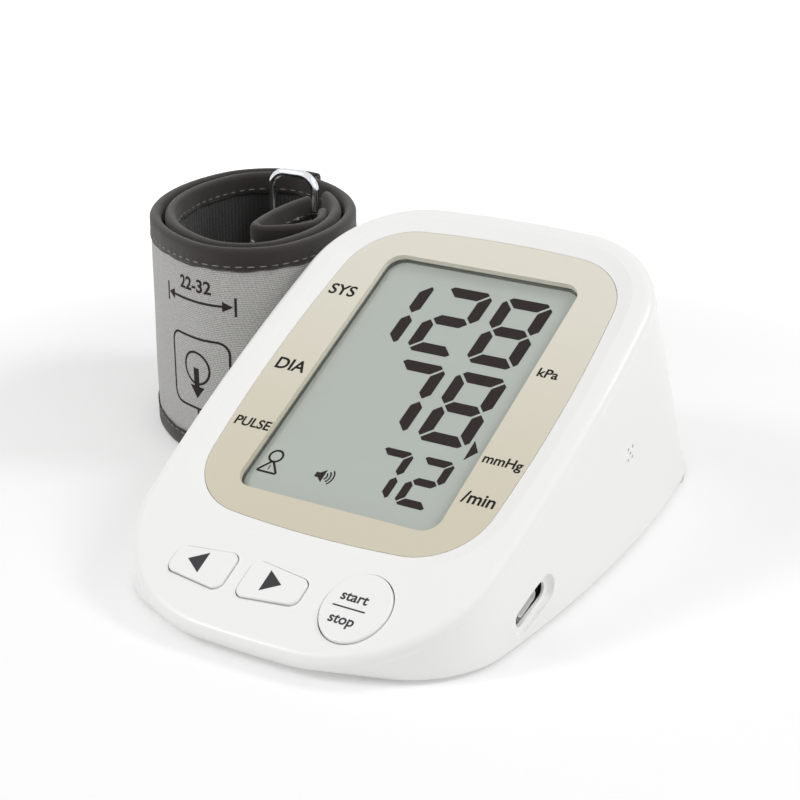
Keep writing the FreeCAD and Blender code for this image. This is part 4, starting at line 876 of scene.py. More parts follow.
class MONITOR_OT_lettering(bpy.types.Operator):
    """Print the plain labels on the bezel and the marks on the keys"""

    bl_idname = "monitor.lettering"
    bl_label = "Lettering"

    def execute(self, context):
        face = settings("monitor_face")
        self.labels(face)
        top = face.key_rise
        levels = top - face.ink, top + face.ink
        self.arrows(levels)
        self.start_stop(face, levels)
        return {"FINISHED"}

    def labels(self, face):
        """Each label has its share of the letter height and its place in millimetres."""
        labels = (("SYS", 1.0, -36.9, 27), ("DIA", 1.02, -36.7, -3), ("PULSE", 0.76, -35.9, -24.8),
                  ("kPa", 0.76, 34.5, 12.2), ("mmHg", 0.74, 36.4, -18.6), ("/min", 0.94, 36.2, -31.4))
        letters = bmesh.new()
        for text, share, x, y in labels:
            word(letters, text, face.letter * share, (x * MM, y * MM), face_point, 0, face.ink)
        add_piece("bezel_lettering", finished_mesh("bezel_lettering", letters, False), face_ink(),
                  "monitor")

    def arrows(self, levels):
        """Arrow marks that point outwards."""
        row, tip, back, half = -71.1 * MM, 2.6 * MM, 2.2 * MM, 3.2 * MM
        for side, x, way in (("left", -23.6 * MM, -1), ("right", -0.7 * MM, 1)):
            outline = [(x + way * tip, row), (x - way * back, row + half), (x - way * back, row - half)]
            mark = bmesh.new()
            prism(mark, outline, face_point, *levels)
            name = side + "_arrow_mark"
            add_piece(name, finished_mesh(name, mark, False), key_ink(), side + "_arrow_key")

    def start_stop(self, face, levels):
        """Two words with a line between them."""
        x, start_y, line_y, stop_y, half = 21.8 * MM, -68.9 * MM, -72.1 * MM, -75.6 * MM, 4.5 * MM
        words = bmesh.new()
        word(words, "start", face.key_letter, (x, start_y), face_point, *levels)
        word(words, "stop", face.key_letter, (x, stop_y), face_point, *levels)
        stroke(words, [(x - half, line_y), (x + half, line_y)], face.key_line, face_point, *levels)
        add_piece("start_stop_mark", finished_mesh("start_stop_mark", words, False), key_ink(),
                  "start_stop_key")


class MONITOR_OT_inner_parts(bpy.types.Operator):
    """Finish the pieces inside the housing"""

    bl_idname = "monitor.inner_parts"
    bl_label = "Inner parts"

    def execute(self, context):
        dress(circuit_board(), "main_board", "port_board")
        dress(dark_plastic(), "board_chips", "switch_bodies", "pressure_sensor", "speaker")
        dress(switch_red(), "left_arrow_switch_plunger", "right_arrow_switch_plunger",
              "start_stop_switch_plunger")
        dress(pale_plastic(), "lcd_holder", "air_tee", "pump_nozzle_cap", "pump_valve_plate", "pump_head")
        dress(dark_plastic(), "display_contact_strips", "pump_cushion", "pump_diaphragm", "speaker_gasket")
        dress(drawn_steel(), "board_screws", "battery_contacts", "battery_springs", "pump_motor_can",
              "pump_motor_cap", "pump_rotor", "valve_frame", "valve_plunger")
        dress(copper_winding(), "valve_coil")
        dress(air_tubing(), "pump_tube", "socket_tube", "valve_tube", "sensor_tube")
        dress(cell_jacket(), "batteries")
        return {"FINISHED"}


# Repeated details

class NodeSheet:
    """Geometry tree with named inputs, built step by step."""

    def __init__(self, name, inputs, material):
        self.tree = bpy.data.node_groups.new(name, "GeometryNodeTree")
        self.material = material
        face = self.tree.interface
        face.new_socket("Geometry", in_out="INPUT", socket_type="NodeSocketGeometry")
        self.keys = {}
        for label, kind in inputs.items():
            item = face.new_socket(label, in_out="INPUT", socket_type=kind)
            self.keys[label] = item.identifier
        face.new_socket("Geometry", in_out="OUTPUT", socket_type="NodeSocketGeometry")
        self.source = self.tree.nodes.new("NodeGroupInput")
        self.sink = self.tree.nodes.new("NodeGroupOutput")

    def given(self, label):
        return self.source.outputs[label]

    def step(self, kind, options=None, **values):
        made = self.tree.nodes.new(kind)
        for option, value in (options or {}).items():
            setattr(made, option, value)
        for label, value in values.items():
            socket = made.inputs[label.replace("_", " ").title()]
            if isinstance(value, bpy.types.NodeSocket):
                self.tree.links.new(value, socket)
            else:
                socket.default_value = value
        return made

    def scaled(self, x, y, z):
        made = self.tree.nodes.new("ShaderNodeCombineXYZ")
        for socket, value in zip(made.inputs, (x, y, z)):
            self.tree.links.new(value, socket)
        return made.outputs[0]

    def close(self, instances):
        """End in plain geometry with its material."""
        solid = self.step("GeometryNodeRealizeInstances", Geometry=instances)
        paint = self.step("GeometryNodeSetMaterial", Geometry=solid.outputs[0])
        paint.inputs["Material"].default_value = self.material
        self.tree.links.new(paint.outputs[0], self.sink.inputs[0])

    def run(self, name, mesh, values):
        """Plain mesh that the tree makes from a mesh."""
        maker = bpy.data.objects.new(name + "_maker", mesh)
        bpy.context.scene.collection.objects.link(maker)
        modifier = maker.modifiers.new(name, "NODES")
        modifier.node_group = self.tree
        for label, value in values.items():
            modifier[self.keys[label]] = value
        bpy.context.view_layer.update()
        made = bpy.data.meshes.new_from_object(maker.evaluated_get(bpy.context.evaluated_depsgraph_get()))
        made.name = name
        bpy.data.objects.remove(maker)
        for polygon in made.polygons:
            polygon.use_smooth = True
        return made


def stitch_sheet():
    """Seams as chains of edges become rows of stitches, each a slim bead that lies along its seam."""
    sheet = NodeSheet("stitch_rows", {"Pitch": "NodeSocketFloat", "Length": "NodeSocketFloat",
                                      "Thread": "NodeSocketFloat"}, sewing_thread())
    curve = sheet.step("GeometryNodeMeshToCurve", Mesh=sheet.given("Geometry"))
    spots = sheet.step("GeometryNodeCurveToPoints", {"mode": "LENGTH"}, Curve=curve.outputs[0],
                       Length=sheet.given("Pitch"))
    bead = sheet.step("GeometryNodeMeshUVSphere", Segments=6, Rings=6, Radius=0.5)
    thread, length = sheet.given("Thread"), sheet.given("Length")
    stitch = sheet.step("GeometryNodeTransform", Geometry=bead.outputs[0],
                        Scale=sheet.scaled(thread, thread, length))
    rows = sheet.step("GeometryNodeInstanceOnPoints", Points=spots.outputs["Points"],
                      Instance=stitch.outputs[0], Rotation=spots.outputs["Rotation"])
    sheet.close(rows.outputs[0])
    return sheet


def grip_sheet():
    """Row of rounded bars across the battery door."""
    sheet = NodeSheet("grip_bars", {"Count": "NodeSocketInt", "Step": "NodeSocketVector",
                                    "Half Length": "NodeSocketFloat", "Radius": "NodeSocketFloat"},
                      white_housing())
    line = sheet.step("GeometryNodeMeshLine", Count=sheet.given("Count"), Offset=sheet.given("Step"))
    bead = sheet.step("GeometryNodeMeshUVSphere", Segments=12, Rings=10, Radius=1.0)
    half_length, radius = sheet.given("Half Length"), sheet.given("Radius")
    bar = sheet.step("GeometryNodeTransform", Geometry=bead.outputs[0],
                     Scale=sheet.scaled(half_length, radius, radius))
    rows = sheet.step("GeometryNodeInstanceOnPoints", Points=line.outputs[0], Instance=bar.outputs[0])
    sheet.close(rows.outputs[0])
    return sheet


class MONITOR_OT_door_grip(bpy.types.Operator):
    """Add the grip bars under the battery door"""

    bl_idname = "monitor.door_grip"
    bl_label = "Door grip"

    def execute(self, context):
        low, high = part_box("battery_door")
        bars, step, half_length, radius = 5, 2.6 * MM, 11 * MM, 0.5 * MM
        first_share = 0.78
        mesh = grip_sheet().run("door_grip", bpy.data.meshes.new("door_grip_start"), {
            "Count": bars, "Step": (0, step, 0), "Half Length": half_length, "Radius": radius})
        start = Vector(((low.x + high.x) / 2, low.y + first_share * (high.y - low.y), low.z))
        mesh.transform(Matrix.Translation(start))
        add_piece("door_grip", mesh, None, "door")
        return {"FINISHED"}


# Rolled cuff

CLOTH_STEP = 0.9 * MM
TAPE_STEP = 0.7 * MM
SEAM_RISE = 1.3 * MM

# Waves of the cloth: each has a height or a share of one, a length and a start
PUCKER_WAVES = ((1, 7.3 * MM, 0), (0.6, 4.9 * MM, 1.1))
SWAY_WAVES = ((1, 61 * MM, 0.4), (0.5, 23 * MM, 2))
LINING_WAVES = ((0.12 * MM, 37 * MM, 1),)
STRAP_WAVES = ((0.15 * MM, 11 * MM, 0.5),)
TAPE_EDGE_WAVES = ((0.16 * MM, 19 * MM, 0.3), (0.1 * MM, 8.1 * MM, 1.9))
TAPE_LIFT_WAVES = ((0.05 * MM, 13 * MM, 0.7), (0.035 * MM, 29 * MM, 2.2))


def heading(degrees):
    angle = math.radians(degrees)
    return Vector((math.cos(angle), math.sin(angle), 0))


class ClothPath:
    """Upright strip of cloth whose middle line is a chain of arcs, each turning left."""

    def __init__(self, start, course, steps):
        self.arcs = []
        self.length = 0.0
        for radius, sweep in steps:
            centre = start + heading(course + 90) * radius
            self.arcs.append((self.length, centre, radius, course - 90))
            course += sweep
            start = centre + heading(course - 90) * radius
            self.length += radius * math.radians(sweep)
        self.end = start
        self.course = course

    def point(self, along, offset, height):
        begin, centre, radius, first = [arc for arc in self.arcs if arc[0] <= max(along, 0)][-1]
        ray = heading(first + math.degrees((along - begin) / radius))
        return centre + ray * (radius + offset) + Vector((0, 0, height))


def rolled_path():
    """Oval spiral of quarter arcs, from the outer end inwards."""
    cuff = settings("cuff_sizes")
    root = math.sqrt(0.5)
    spread = (cuff.half_depth - cuff.half_width) / (2 * root - 1)
    end_radius = cuff.half_width - (1 - root) * spread
    pitch = cuff.thick + cuff.spacing
    steps = []
    for quarter in range(cuff.quarters):
        radius = end_radius + spread if quarter % 2 else end_radius
        sweep = 90 if quarter < cuff.quarters - 1 else cuff.last_sweep
        steps.append((radius - cuff.thick / 2 - pitch * quarter / 4, sweep))
    middle = Vector((cuff.middle_x, face_point(0, 0).y + cuff.behind_face, 0))
    start = middle + heading(cuff.turn + 90) * (root * spread) + heading(cuff.turn + 45) * steps[0][0]
    return ClothPath(start, cuff.turn + 135, steps)


def ring_pivot(path):
    cuff = settings("cuff_sizes")
    return path.end + heading(path.course) * cuff.ring_onward + heading(path.course + 90) * cuff.ring_inward


def tail_path(path):
    """Strap end: it runs out from the ring, folds back and comes to lie along the roll's inner wall."""
    cuff = settings("cuff_sizes")
    leaving, rest_sweep = 232, 10
    # Radius and degrees of each bow
    run_out, tight_fold, run_back = (80 * MM, 23), (3.6 * MM, 112), (60 * MM, 6)
    course = cuff.turn + leaving
    start = ring_pivot(path) + heading(course) * cuff.sleeve_radius
    steps = [run_out, tight_fold, run_back]
    fold = ClothPath(start, course, steps)
    wall_centre, wall_radius = path.arcs[-1][1:3]
    rest = wall_radius - (cuff.tail_thick + cuff.thick) / 2 - 2 * cuff.tape - cuff.tail_gap
    across = heading(fold.course + 90)
    reach = fold.end - wall_centre
    curl = (rest ** 2 - reach.dot(reach)) / (2 * (rest + reach.dot(across)))
    touch = reach + across * curl
    sweep = (math.degrees(math.atan2(touch.y, touch.x)) + 90 - fold.course) % 360
    return ClothPath(start, course, steps + [(curl, sweep), (rest, rest_sweep)])


def ripple(along, *waves):
    """Sum of waves along the cloth, each a height, a length and a start."""
    return sum(height * math.sin(TURN * along / length + start) for height, length, start in waves)


def limited(share):
    """Share kept between 0 and 1."""
    return min(1.0, max(0.0, share))


def wrap_offset(along, height):
    """Outer face of the padded cloth: crowned, puckered under the rim and flat in the end tape."""
    cuff = settings("cuff_sizes")
    low, high = cuff.tape_height, cuff.height - cuff.tape_height
    arch = math.sin(math.pi * limited((height - low) / (high - low)))
    crown = cuff.crown * arch ** cuff.crown_power
    near_rim = math.exp(min(0.0, height - high) / cuff.pucker_reach)
    pucker = cuff.pucker * ripple(along, *PUCKER_WAVES) * near_rim
    lean = 0.4
    sway = cuff.sway * ripple(along + height * lean, *SWAY_WAVES) * arch
    settle = limited((along - cuff.end_reach) / cuff.settle_reach)
    return cuff.thick / 2 - cuff.tuck + (crown + pucker + sway + cuff.tuck) * settle


def spread_values(first, last, step):
    count = max(1, math.ceil((last - first) / step))
    return [first + (last - first) * index / count for index in range(count + 1)]


def swept(name, path, stations, section):
    """Closed strip: a section of offsets and heights carried along a path, with its own cloth map."""
    bm = bmesh.new()
    cloth = bm.loops.layers.uv.new("cloth")
    outlines = [section(along) for along in stations]
    rings = [[bm.verts.new(path.point(along, offset, height)) for offset, height in outline]
             for along, outline in zip(stations, outlines)]
    lengths = [0.0]
    first = outlines[0] + outlines[0][:1]
    for a, b in zip(first, first[1:]):
        lengths.append(lengths[-1] + math.dist(a, b))
    count = len(rings[0])
    for index in range(len(stations) - 1):
        for corner in range(count):
            after = (corner + 1) % count
            face = bm.faces.new((rings[index][corner], rings[index + 1][corner],
                                 rings[index + 1][after], rings[index][after]))
            spots = ((index, corner), (index + 1, corner), (index + 1, corner + 1), (index, corner + 1))
            for loop, (station, level) in zip(face.loops, spots):
                loop[cloth].uv = (stations[station], lengths[level])
    for end, ring in ((0, rings[0]), (-1, rings[-1])):
        cap = bm.faces.new(ring)
        for loop, (offset, height) in zip(cap.loops, outlines[end]):
            loop[cloth].uv = (stations[end] + offset, height)
    bmesh.ops.triangulate(bm, faces=[face for face in bm.faces if len(face.verts) > 4])
    return finished_mesh(name, bm)


def wrap_section(along):
    """Padded cloth from its seam with the lining to its outer face."""
    cuff = settings("cuff_sizes")
    edge, hem, hem_depth, row_step = 1.4 * MM, 0.5 * MM, 0.6 * MM, 2.2 * MM
    low, high = edge, cuff.height - edge
    seam = cuff.lining - cuff.thick / 2
    outer = [(wrap_offset(along, height), height) for height in spread_values(low, high, row_step)]
    crest = cuff.thick / 2 - hem_depth
    return [(crest, low - hem)] + outer + [(crest, high + hem), (seam, high + hem),
                                           (seam, cuff.height / 2), (seam, low - hem)]


def lining_section(along):
    """Lining with upright ribs on its inner face."""
    cuff = settings("cuff_sizes")
    edge, rib_height, lean, row_step = 1.2 * MM, 0.14 * MM, 0.3, 6 * MM
    low, high = edge, cuff.height - edge
    seam, inner = cuff.lining - cuff.thick / 2, -cuff.thick / 2
    rib = rib_height * math.sin(TURN * along / cuff.rib_pitch)
    inside = [(inner + rib + ripple(along + height * lean, *LINING_WAVES), height)
              for height in spread_values(high, low, -row_step)]
    return [(seam, low), (seam, high)] + inside


def tape_section(half, edge, pinch, rim, sense, steps=10):
    """Binding folded over an edge: sense 1 folds over an upper edge, -1 over a lower one."""
    cuff = settings("cuff_sizes")
    turned_in, flare = 0.25 * MM, 0.1 * MM
    round_middle = rim - sense * (half + cuff.tape)
    lip = edge + sense * turned_in
    seam = edge + sense * SEAM_RISE
    above = edge + sense * 2 * SEAM_RISE

    def skin(thick):
        reach = half + thick
        side = [(reach + flare, edge if thick else lip), (reach - pinch, seam), (reach, above)]
        top = [(reach * math.cos(math.pi * step / steps),
                round_middle + sense * reach * math.sin(math.pi * step / steps))
               for step in range(steps + 1)]
        return side + top + [(-offset, height) for offset, height in reversed(side)]

    return skin(cuff.tape) + skin(0)[::-1]


def binding_section(half, rim, sense):
    """Section of a binding that wavers and is drawn in at each stitch."""
    cuff = settings("cuff_sizes")
    mean_pinch, stitch_pinch = 0.12 * MM, 0.06 * MM

    def section(along):
        edge = rim - sense * (cuff.tape_height + ripple(along, *TAPE_EDGE_WAVES))
        pinch = mean_pinch + stitch_pinch * math.cos(TURN * along / cuff.stitch_pitch)
        return tape_section(half + ripple(along, *TAPE_LIFT_WAVES), edge, pinch, rim, sense)

    return section


def seam_points(path, half, rim, sense, side):
    """Chain of points just proud of a binding's seam, on one face of the cloth."""
    cuff = settings("cuff_sizes")
    sunk, end_gap, step = 0.1 * MM, 1.5 * MM, 1.2 * MM
    height = rim - sense * (cuff.tape_height - SEAM_RISE)
    offset = side * (half + cuff.tape - sunk)
    return [path.point(along, offset, height)
            for along in spread_values(end_gap, path.length - end_gap, step)]


class MONITOR_OT_cuff_cloth(bpy.types.Operator):
    """Make the rolled cuff's padded cloth, lining, hook patch, strap end and ring loop"""

    bl_idname = "monitor.cuff_cloth"
    bl_label = "Cuff cloth"

    def execute(self, context):
        cuff = settings("cuff_sizes")
        path = rolled_path()
        stations = spread_values(0, path.length, CLOTH_STEP)
        wrap = add_piece("cuff_cloth", swept("cuff_cloth", path, stations, wrap_section), woven_cloth(),
                         "cuff")
        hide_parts("cuff_wrap")
        fine = spread_values(0, path.length, cuff.rib_pitch / 5)
        lining = add_piece("cuff_inner_cloth", swept("cuff_inner_cloth", path, fine, lining_section),
                           ribbed_lining(), "cuff")
        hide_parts("cuff_lining")
        self.hook_patch(cuff, path)
        self.strap_end(cuff, tail_path(path))
        self.ring_loop(cuff, ring_pivot(path))
        dress(grey_fitting(), "cuff_air_port")
        return {"FINISHED"}

    def hook_patch(self, cuff, path):
        """Hooks inside the outer end, within the first arc."""
        first_arc = path.arcs[1][0]
        first_share, last_share, station_step = 0.18, 0.8, 1 * MM
        first, last = first_share * first_arc, last_share * first_arc
        low, high = 2 * cuff.tape_height, cuff.height - 2 * cuff.tape_height
        inner = -cuff.thick / 2
        sunk, bevel, edge_share, row_step = 0.1 * MM, 1.2 * MM, 0.35, 4 * MM

        def section(along):
            edge = limited(min(along - first, last - along) / bevel)
            depth = cuff.tape * (edge_share + (1 - edge_share) * edge)
            heights = spread_values(low, high, row_step)
            return [(inner + sunk, low), (inner + sunk, high)] + [
                (inner - depth, height) for height in reversed(heights)]

        mesh = swept("cuff_hooks", path, spread_values(first, last, station_step), section)
        patch = add_piece("cuff_hooks", mesh, ribbed_lining(), "cuff")
        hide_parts("cuff_hook_patch")

    def strap_end(self, cuff, path):
        """Padded strap, bare at its foot and bound at its top."""
        half = cuff.tail_thick / 2
        low, high = cuff.tail_low, cuff.height - cuff.tail_drop
        swell_height, foot_inset, top_inset, row_step = 0.25 * MM, 1 * MM, 1.2 * MM, 3 * MM
        foot_gap, foot_half, top_gap, top_half = 0.2 * MM, 0.7 * half, 0.7 * MM, 0.6 * half

        def section(along):
            heights = spread_values(low + foot_inset, high - top_inset, row_step)
            swell = [swell_height * math.sin(math.pi * (height - low) / (high - low)) for height in heights]
            sway = ripple(along, *STRAP_WAVES)
            outer = [(half + rise + sway, height) for height, rise in zip(heights, swell)]
            inner = [(-half - rise + sway, height) for height, rise in zip(heights, swell)]
            top = [(top_half, high - top_gap), (-top_half, high - top_gap)]
            return [(foot_half, low + foot_gap)] + outer + top + inner[::-1] + [(-foot_half, low + foot_gap)]

        mesh = swept("cuff_strap_end", path, spread_values(0, path.length, TAPE_STEP), section)
        strap = add_piece("cuff_strap_end", mesh, woven_cloth(), "cuff")
        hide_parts("cuff_tail")

    def ring_loop(self, cuff, pivot):
        """Creased tube of tape round the ring."""
        low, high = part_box("cuff_ring_sleeve")
        bore, row_step, steps = 1.8 * MM, 1.6 * MM, 40
        crease_depth, crease_pitch, crease_turn = 0.12 * MM, 6.5 * MM, 0.8
        bm = bmesh.new()
        cloth = bm.loops.layers.uv.new("cloth")
        heights = spread_values(low.z, high.z, row_step)
        walls = ((cuff.sleeve_radius, crease_depth, heights), (bore, 0, heights[::-1]))
        rows = []
        for radius, depth, levels in walls:
            for height in levels:
                middle = Vector((pivot.x, pivot.y, height))
                crease = depth * math.sin(TURN * height / crease_pitch)
                rows.append([bm.verts.new(middle + heading(360 * step / steps) *
                                          (radius + crease * math.sin(step * crease_turn)))
                             for step in range(steps)])
        for index in range(len(rows)):
            for step in range(steps):
                a, b = rows[index], rows[(index + 1) % len(rows)]
                after = (step + 1) % steps
                face = bm.faces.new((a[step], a[after], b[after], b[step]))
                for loop, share in zip(face.loops, (step, step + 1, step + 1, step)):
                    loop[cloth].uv = (loop.vert.co.z, share / steps * TURN * cuff.sleeve_radius)
        mesh = finished_mesh("cuff_ring_loop", bm)
        loop_piece = add_piece("cuff_ring_loop", mesh, binding_tape(), "cuff")
        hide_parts("cuff_ring_sleeve")


class MONITOR_OT_cuff_binding(bpy.types.Operator):
    """Fold the binding over the cuff's edges and sew it"""

    bl_idname = "monitor.cuff_binding"
    bl_label = "Cuff binding"

    def execute(self, context):
        cuff = settings("cuff_sizes")
        path = rolled_path()
        tail = tail_path(path)
        half, tail_half = cuff.thick / 2, cuff.tail_thick / 2
        tail_rim = cuff.height - cuff.tail_drop
        self.bind("cuff_rim_binding", path, half, cuff.height, 1, "cuff_cloth", "cuff_top_binding")
        self.bind("cuff_foot_binding", path, half, 0, -1, "cuff_cloth", "cuff_bottom_binding")
        self.bind("cuff_strap_binding", tail, tail_half, tail_rim, 1, "cuff_strap_end")
        self.end_tape(cuff, path, half)
        self.sew(cuff, path, tail, half, tail_half, tail_rim)
        return {"FINISHED"}

    def bind(self, name, path, half, rim, sense, cloth, *nodes):
        """Tape over one edge of a strip of cloth, in place of any CAD binding."""
        cuff = settings("cuff_sizes")
        stations = spread_values(0, path.length, TAPE_STEP)
        mesh = swept(name, path, stations, binding_section(half, rim, sense))
        tape = add_piece(name, mesh, binding_tape(), "cuff")
        if nodes:
            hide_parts(*nodes)

    def end_tape(self, cuff, path, half):
        """Tape folded round the upright outer end."""
        reach = cuff.end_reach
        end_gap, row_step, steps = 4 * MM, 4 * MM, 8
        nose_share, thread_step = 0.35, 1.2 * MM
        low, high = end_gap, cuff.height - end_gap
        bm = bmesh.new()
        cloth = bm.loops.layers.uv.new("cloth")

        def skin(thick):
            level = half + thick
            side = [(along, level) for along in (reach, 0.6 * reach, 0.3 * reach, 0)]
            nose = [(-nose_share * level * math.sin(math.pi * step / steps),
                     level * math.cos(math.pi * step / steps)) for step in range(1, steps)]
            return side + nose + [(along, -offset) for along, offset in reversed(side)]

        outline = skin(cuff.tape) + skin(0.0)[::-1]
        rows = [[bm.verts.new(path.point(along, offset, height)) for along, offset in outline]
                for height in spread_values(low, high, row_step)]
        count = len(outline)
        for below, above in zip(rows, rows[1:]):
            for index in range(count):
                after = (index + 1) % count
                face = bm.faces.new((below[index], below[after], above[after], above[index]))
                for loop, step in zip(face.loops, (index, index + 1, index + 1, index)):
                    loop[cloth].uv = (loop.vert.co.z, step * thread_step)
        for row in (rows[0], rows[-1]):
            for index in range(count // 2 - 1):
                bm.faces.new((row[index], row[index + 1], row[-index - 2], row[-index - 1]))
        mesh = finished_mesh("cuff_end_tape", bm)
        tape = add_piece("cuff_end_tape", mesh, binding_tape(), "cuff")
        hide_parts("cuff_end_binding")

    def sew(self, cuff, path, tail, half, tail_half, tail_rim):
        seams = [seam_points(path, half, rim, sense, side)
                 for rim, sense in ((cuff.height, 1), (0, -1)) for side in (1, -1)]
        seams += [seam_points(tail, tail_half, tail_rim, 1, side) for side in (1, -1)]
        start = bpy.data.meshes.new("cuff_seams")
        points, edges = [], []
        for seam in seams:
            edges += [(len(points) + index, len(points) + index + 1) for index in range(len(seam) - 1)]
            points += seam
        start.from_pydata(points, edges, [])
        mesh = stitch_sheet().run("cuff_stitches", start, {
            "Pitch": cuff.stitch_pitch, "Length": cuff.stitch, "Thread": cuff.thread})
        add_piece("cuff_stitches", mesh, None, "cuff")


class MONITOR_OT_cuff_print(bpy.types.Operator):
    """Print plain fitting marks on the outer cloth"""

    bl_idname = "monitor.cuff_print"
    bl_label = "Cuff print"

    def execute(self, context):
        cuff = settings("cuff_sizes")
        path = rolled_path()
        low, high, fine_step = -0.08 * MM, 0.09 * MM, 0.8 * MM
        print_mesh = bmesh.new()

        def on_cloth(x, y, level):
            along = cuff.print_along + cuff.print_scale * x
            height = cuff.print_height + cuff.print_scale * y
            return path.point(along, wrap_offset(along, height) + level, height)

        def draw(points, closed=False):
            """Line in short steps, so that it follows the cloth."""
            fine = []
            chain = points + points[:1] if closed else points
            for a, b in zip(chain, chain[1:]):
                for share in spread_values(0, 1, fine_step / max(math.dist(a, b), 1e-6))[:-1]:
                    fine.append((a[0] + (b[0] - a[0]) * share, a[1] + (b[1] - a[1]) * share))
            if not closed:
                fine.append(points[-1])
            stroke(print_mesh, fine, cuff.print_line, on_cloth, low, high, closed)

        def arrow_head(tip, way):
            """Solid arrow head in short rows, with its tip across the cloth."""
            length, half, rows, overlap = 2.6 * MM, 1.3 * MM, 4, 0.1
            for row in range(rows):
                near, far = max(0, row - overlap) / rows, (row + 1) / rows
                front, back = tip - way * length * near, tip - way * length * far
                outline = [(front, -half * near), (front, half * near),
                           (back, half * far), (back, -half * far)]
                prism(print_mesh, outline[1:] if row == 0 else outline, on_cloth, low, high)

        reach, tip_gap, bar_gap, bar_half = 9 * MM, 1.6 * MM, 2.2 * MM, 2.4 * MM
        draw([(-reach, 0), (reach, 0)])
        for way in (-1, 1):
            arrow_head(way * (reach + tip_gap), way)
            bar = way * (reach + bar_gap)
            draw([(bar, -bar_half), (bar, bar_half)])
        range_place = (0, 4 * MM)
        word(print_mesh, "22-32", cuff.print_letter, range_place, on_cloth, low, high)
        middle, half, corner, tail_length = -19 * MM, 9.5 * MM, 3 * MM, 6 * MM
        draw(rounded_box((0, middle), 2 * half, 2 * half, corner), closed=True)
        ring_middle, ring_radius = middle + 1.5 * MM, 4.2 * MM
        draw(arc_points((0, ring_middle), ring_radius, 0, 354, 36), closed=True)
        stem_half, head_half, neck, tip = 0.9 * MM, 2.5 * MM, middle - 3.4 * MM, middle - 6.6 * MM
        arrow = [(-stem_half, neck), (-head_half, neck), (0, tip), (head_half, neck), (stem_half, neck),
                 (stem_half, ring_middle), (-stem_half, ring_middle)]
        prism(print_mesh, arrow, on_cloth, low, high)
        draw([(0, middle - half), (0, middle - half - tail_length)])
        add_piece("cuff_print", finished_mesh("cuff_print", print_mesh, False), cloth_ink(), "cuff")
        return {"FINISHED"}


class MONITOR_OT_ring(bpy.types.Operator):
    """Polish the cuff's metal ring"""

    bl_idname = "monitor.ring"
    bl_label = "Ring"

    def execute(self, context):
        dress(polished_chrome(), "cuff_ring")
        return {"FINISHED"}


# Stage

class StageSettings(bpy.types.PropertyGroup):
    """Floor, light and camera."""

    floor: colour("Floor", "Pale floor", 246, 246, 246)
    azimuth: FloatProperty(name="Azimuth", description="Camera round the object", default=31.331)
    elevation: FloatProperty(name="Elevation", description="Camera above the floor", default=21.519)
    distance: size("Distance", "Camera from its target", 495.76 * MM)
    target: FloatVectorProperty(name="Target", description="Point that the camera looks at", unit="LENGTH",
                                default=(-3.528 * MM, -14.647 * MM, 40.1 * MM))
    lens: FloatProperty(name="Lens", description="Focal length in millimetres", default=84.16)
    sky: FloatProperty(name="Sky", description="Strength of the even light", default=0.48)
    floor_glow: FloatProperty(name="Floor glow", description="Strength of the white seen by these rays",
                              default=1.6)
    floor_share: FloatProperty(name="Floor share", description="Share of that white beside the object",
                               default=0.18)
    white_near: size("White near", "Distance at which the floor starts to turn white", 0.16)
    white_far: size("White far", "Distance at which the floor is all white", 0.5)
    floor_reach: size("Floor reach", "Half the width of the floor", 4)


# Rays that see the sky and the distant floor as plain white
WHITE_RAYS = ("Is Camera Ray", "Is Glossy Ray", "Is Transmission Ray")

# Each lamp's place from the object's middle and its width in metres, and its power in watts
LAMPS = {
    "key_light": ((-0.58, -0.58, 0.72), 0.6, 2.3),
    "lip_light": ((-0.55, -0.6, 0.68), 0.16, 1.2),
    "side_light": ((0.85, -0.25, 0.55), 0.8, 1.5),
    "rim_light": ((0.6, 0.42, 0.74), 0.35, 2.6),
}


def lamp(name, place, aim, across, watts):
    light = bpy.data.lights.new(name, "AREA")
    light.shape = "DISK"
    light.size = across
    light.energy = watts
    stand = bpy.data.objects.new(name, light)
    stand.location = place
    stand.rotation_euler = (Vector(aim) - Vector(place)).to_track_quat("-Z", "Y").to_euler()
    bpy.context.scene.collection.objects.link(stand)


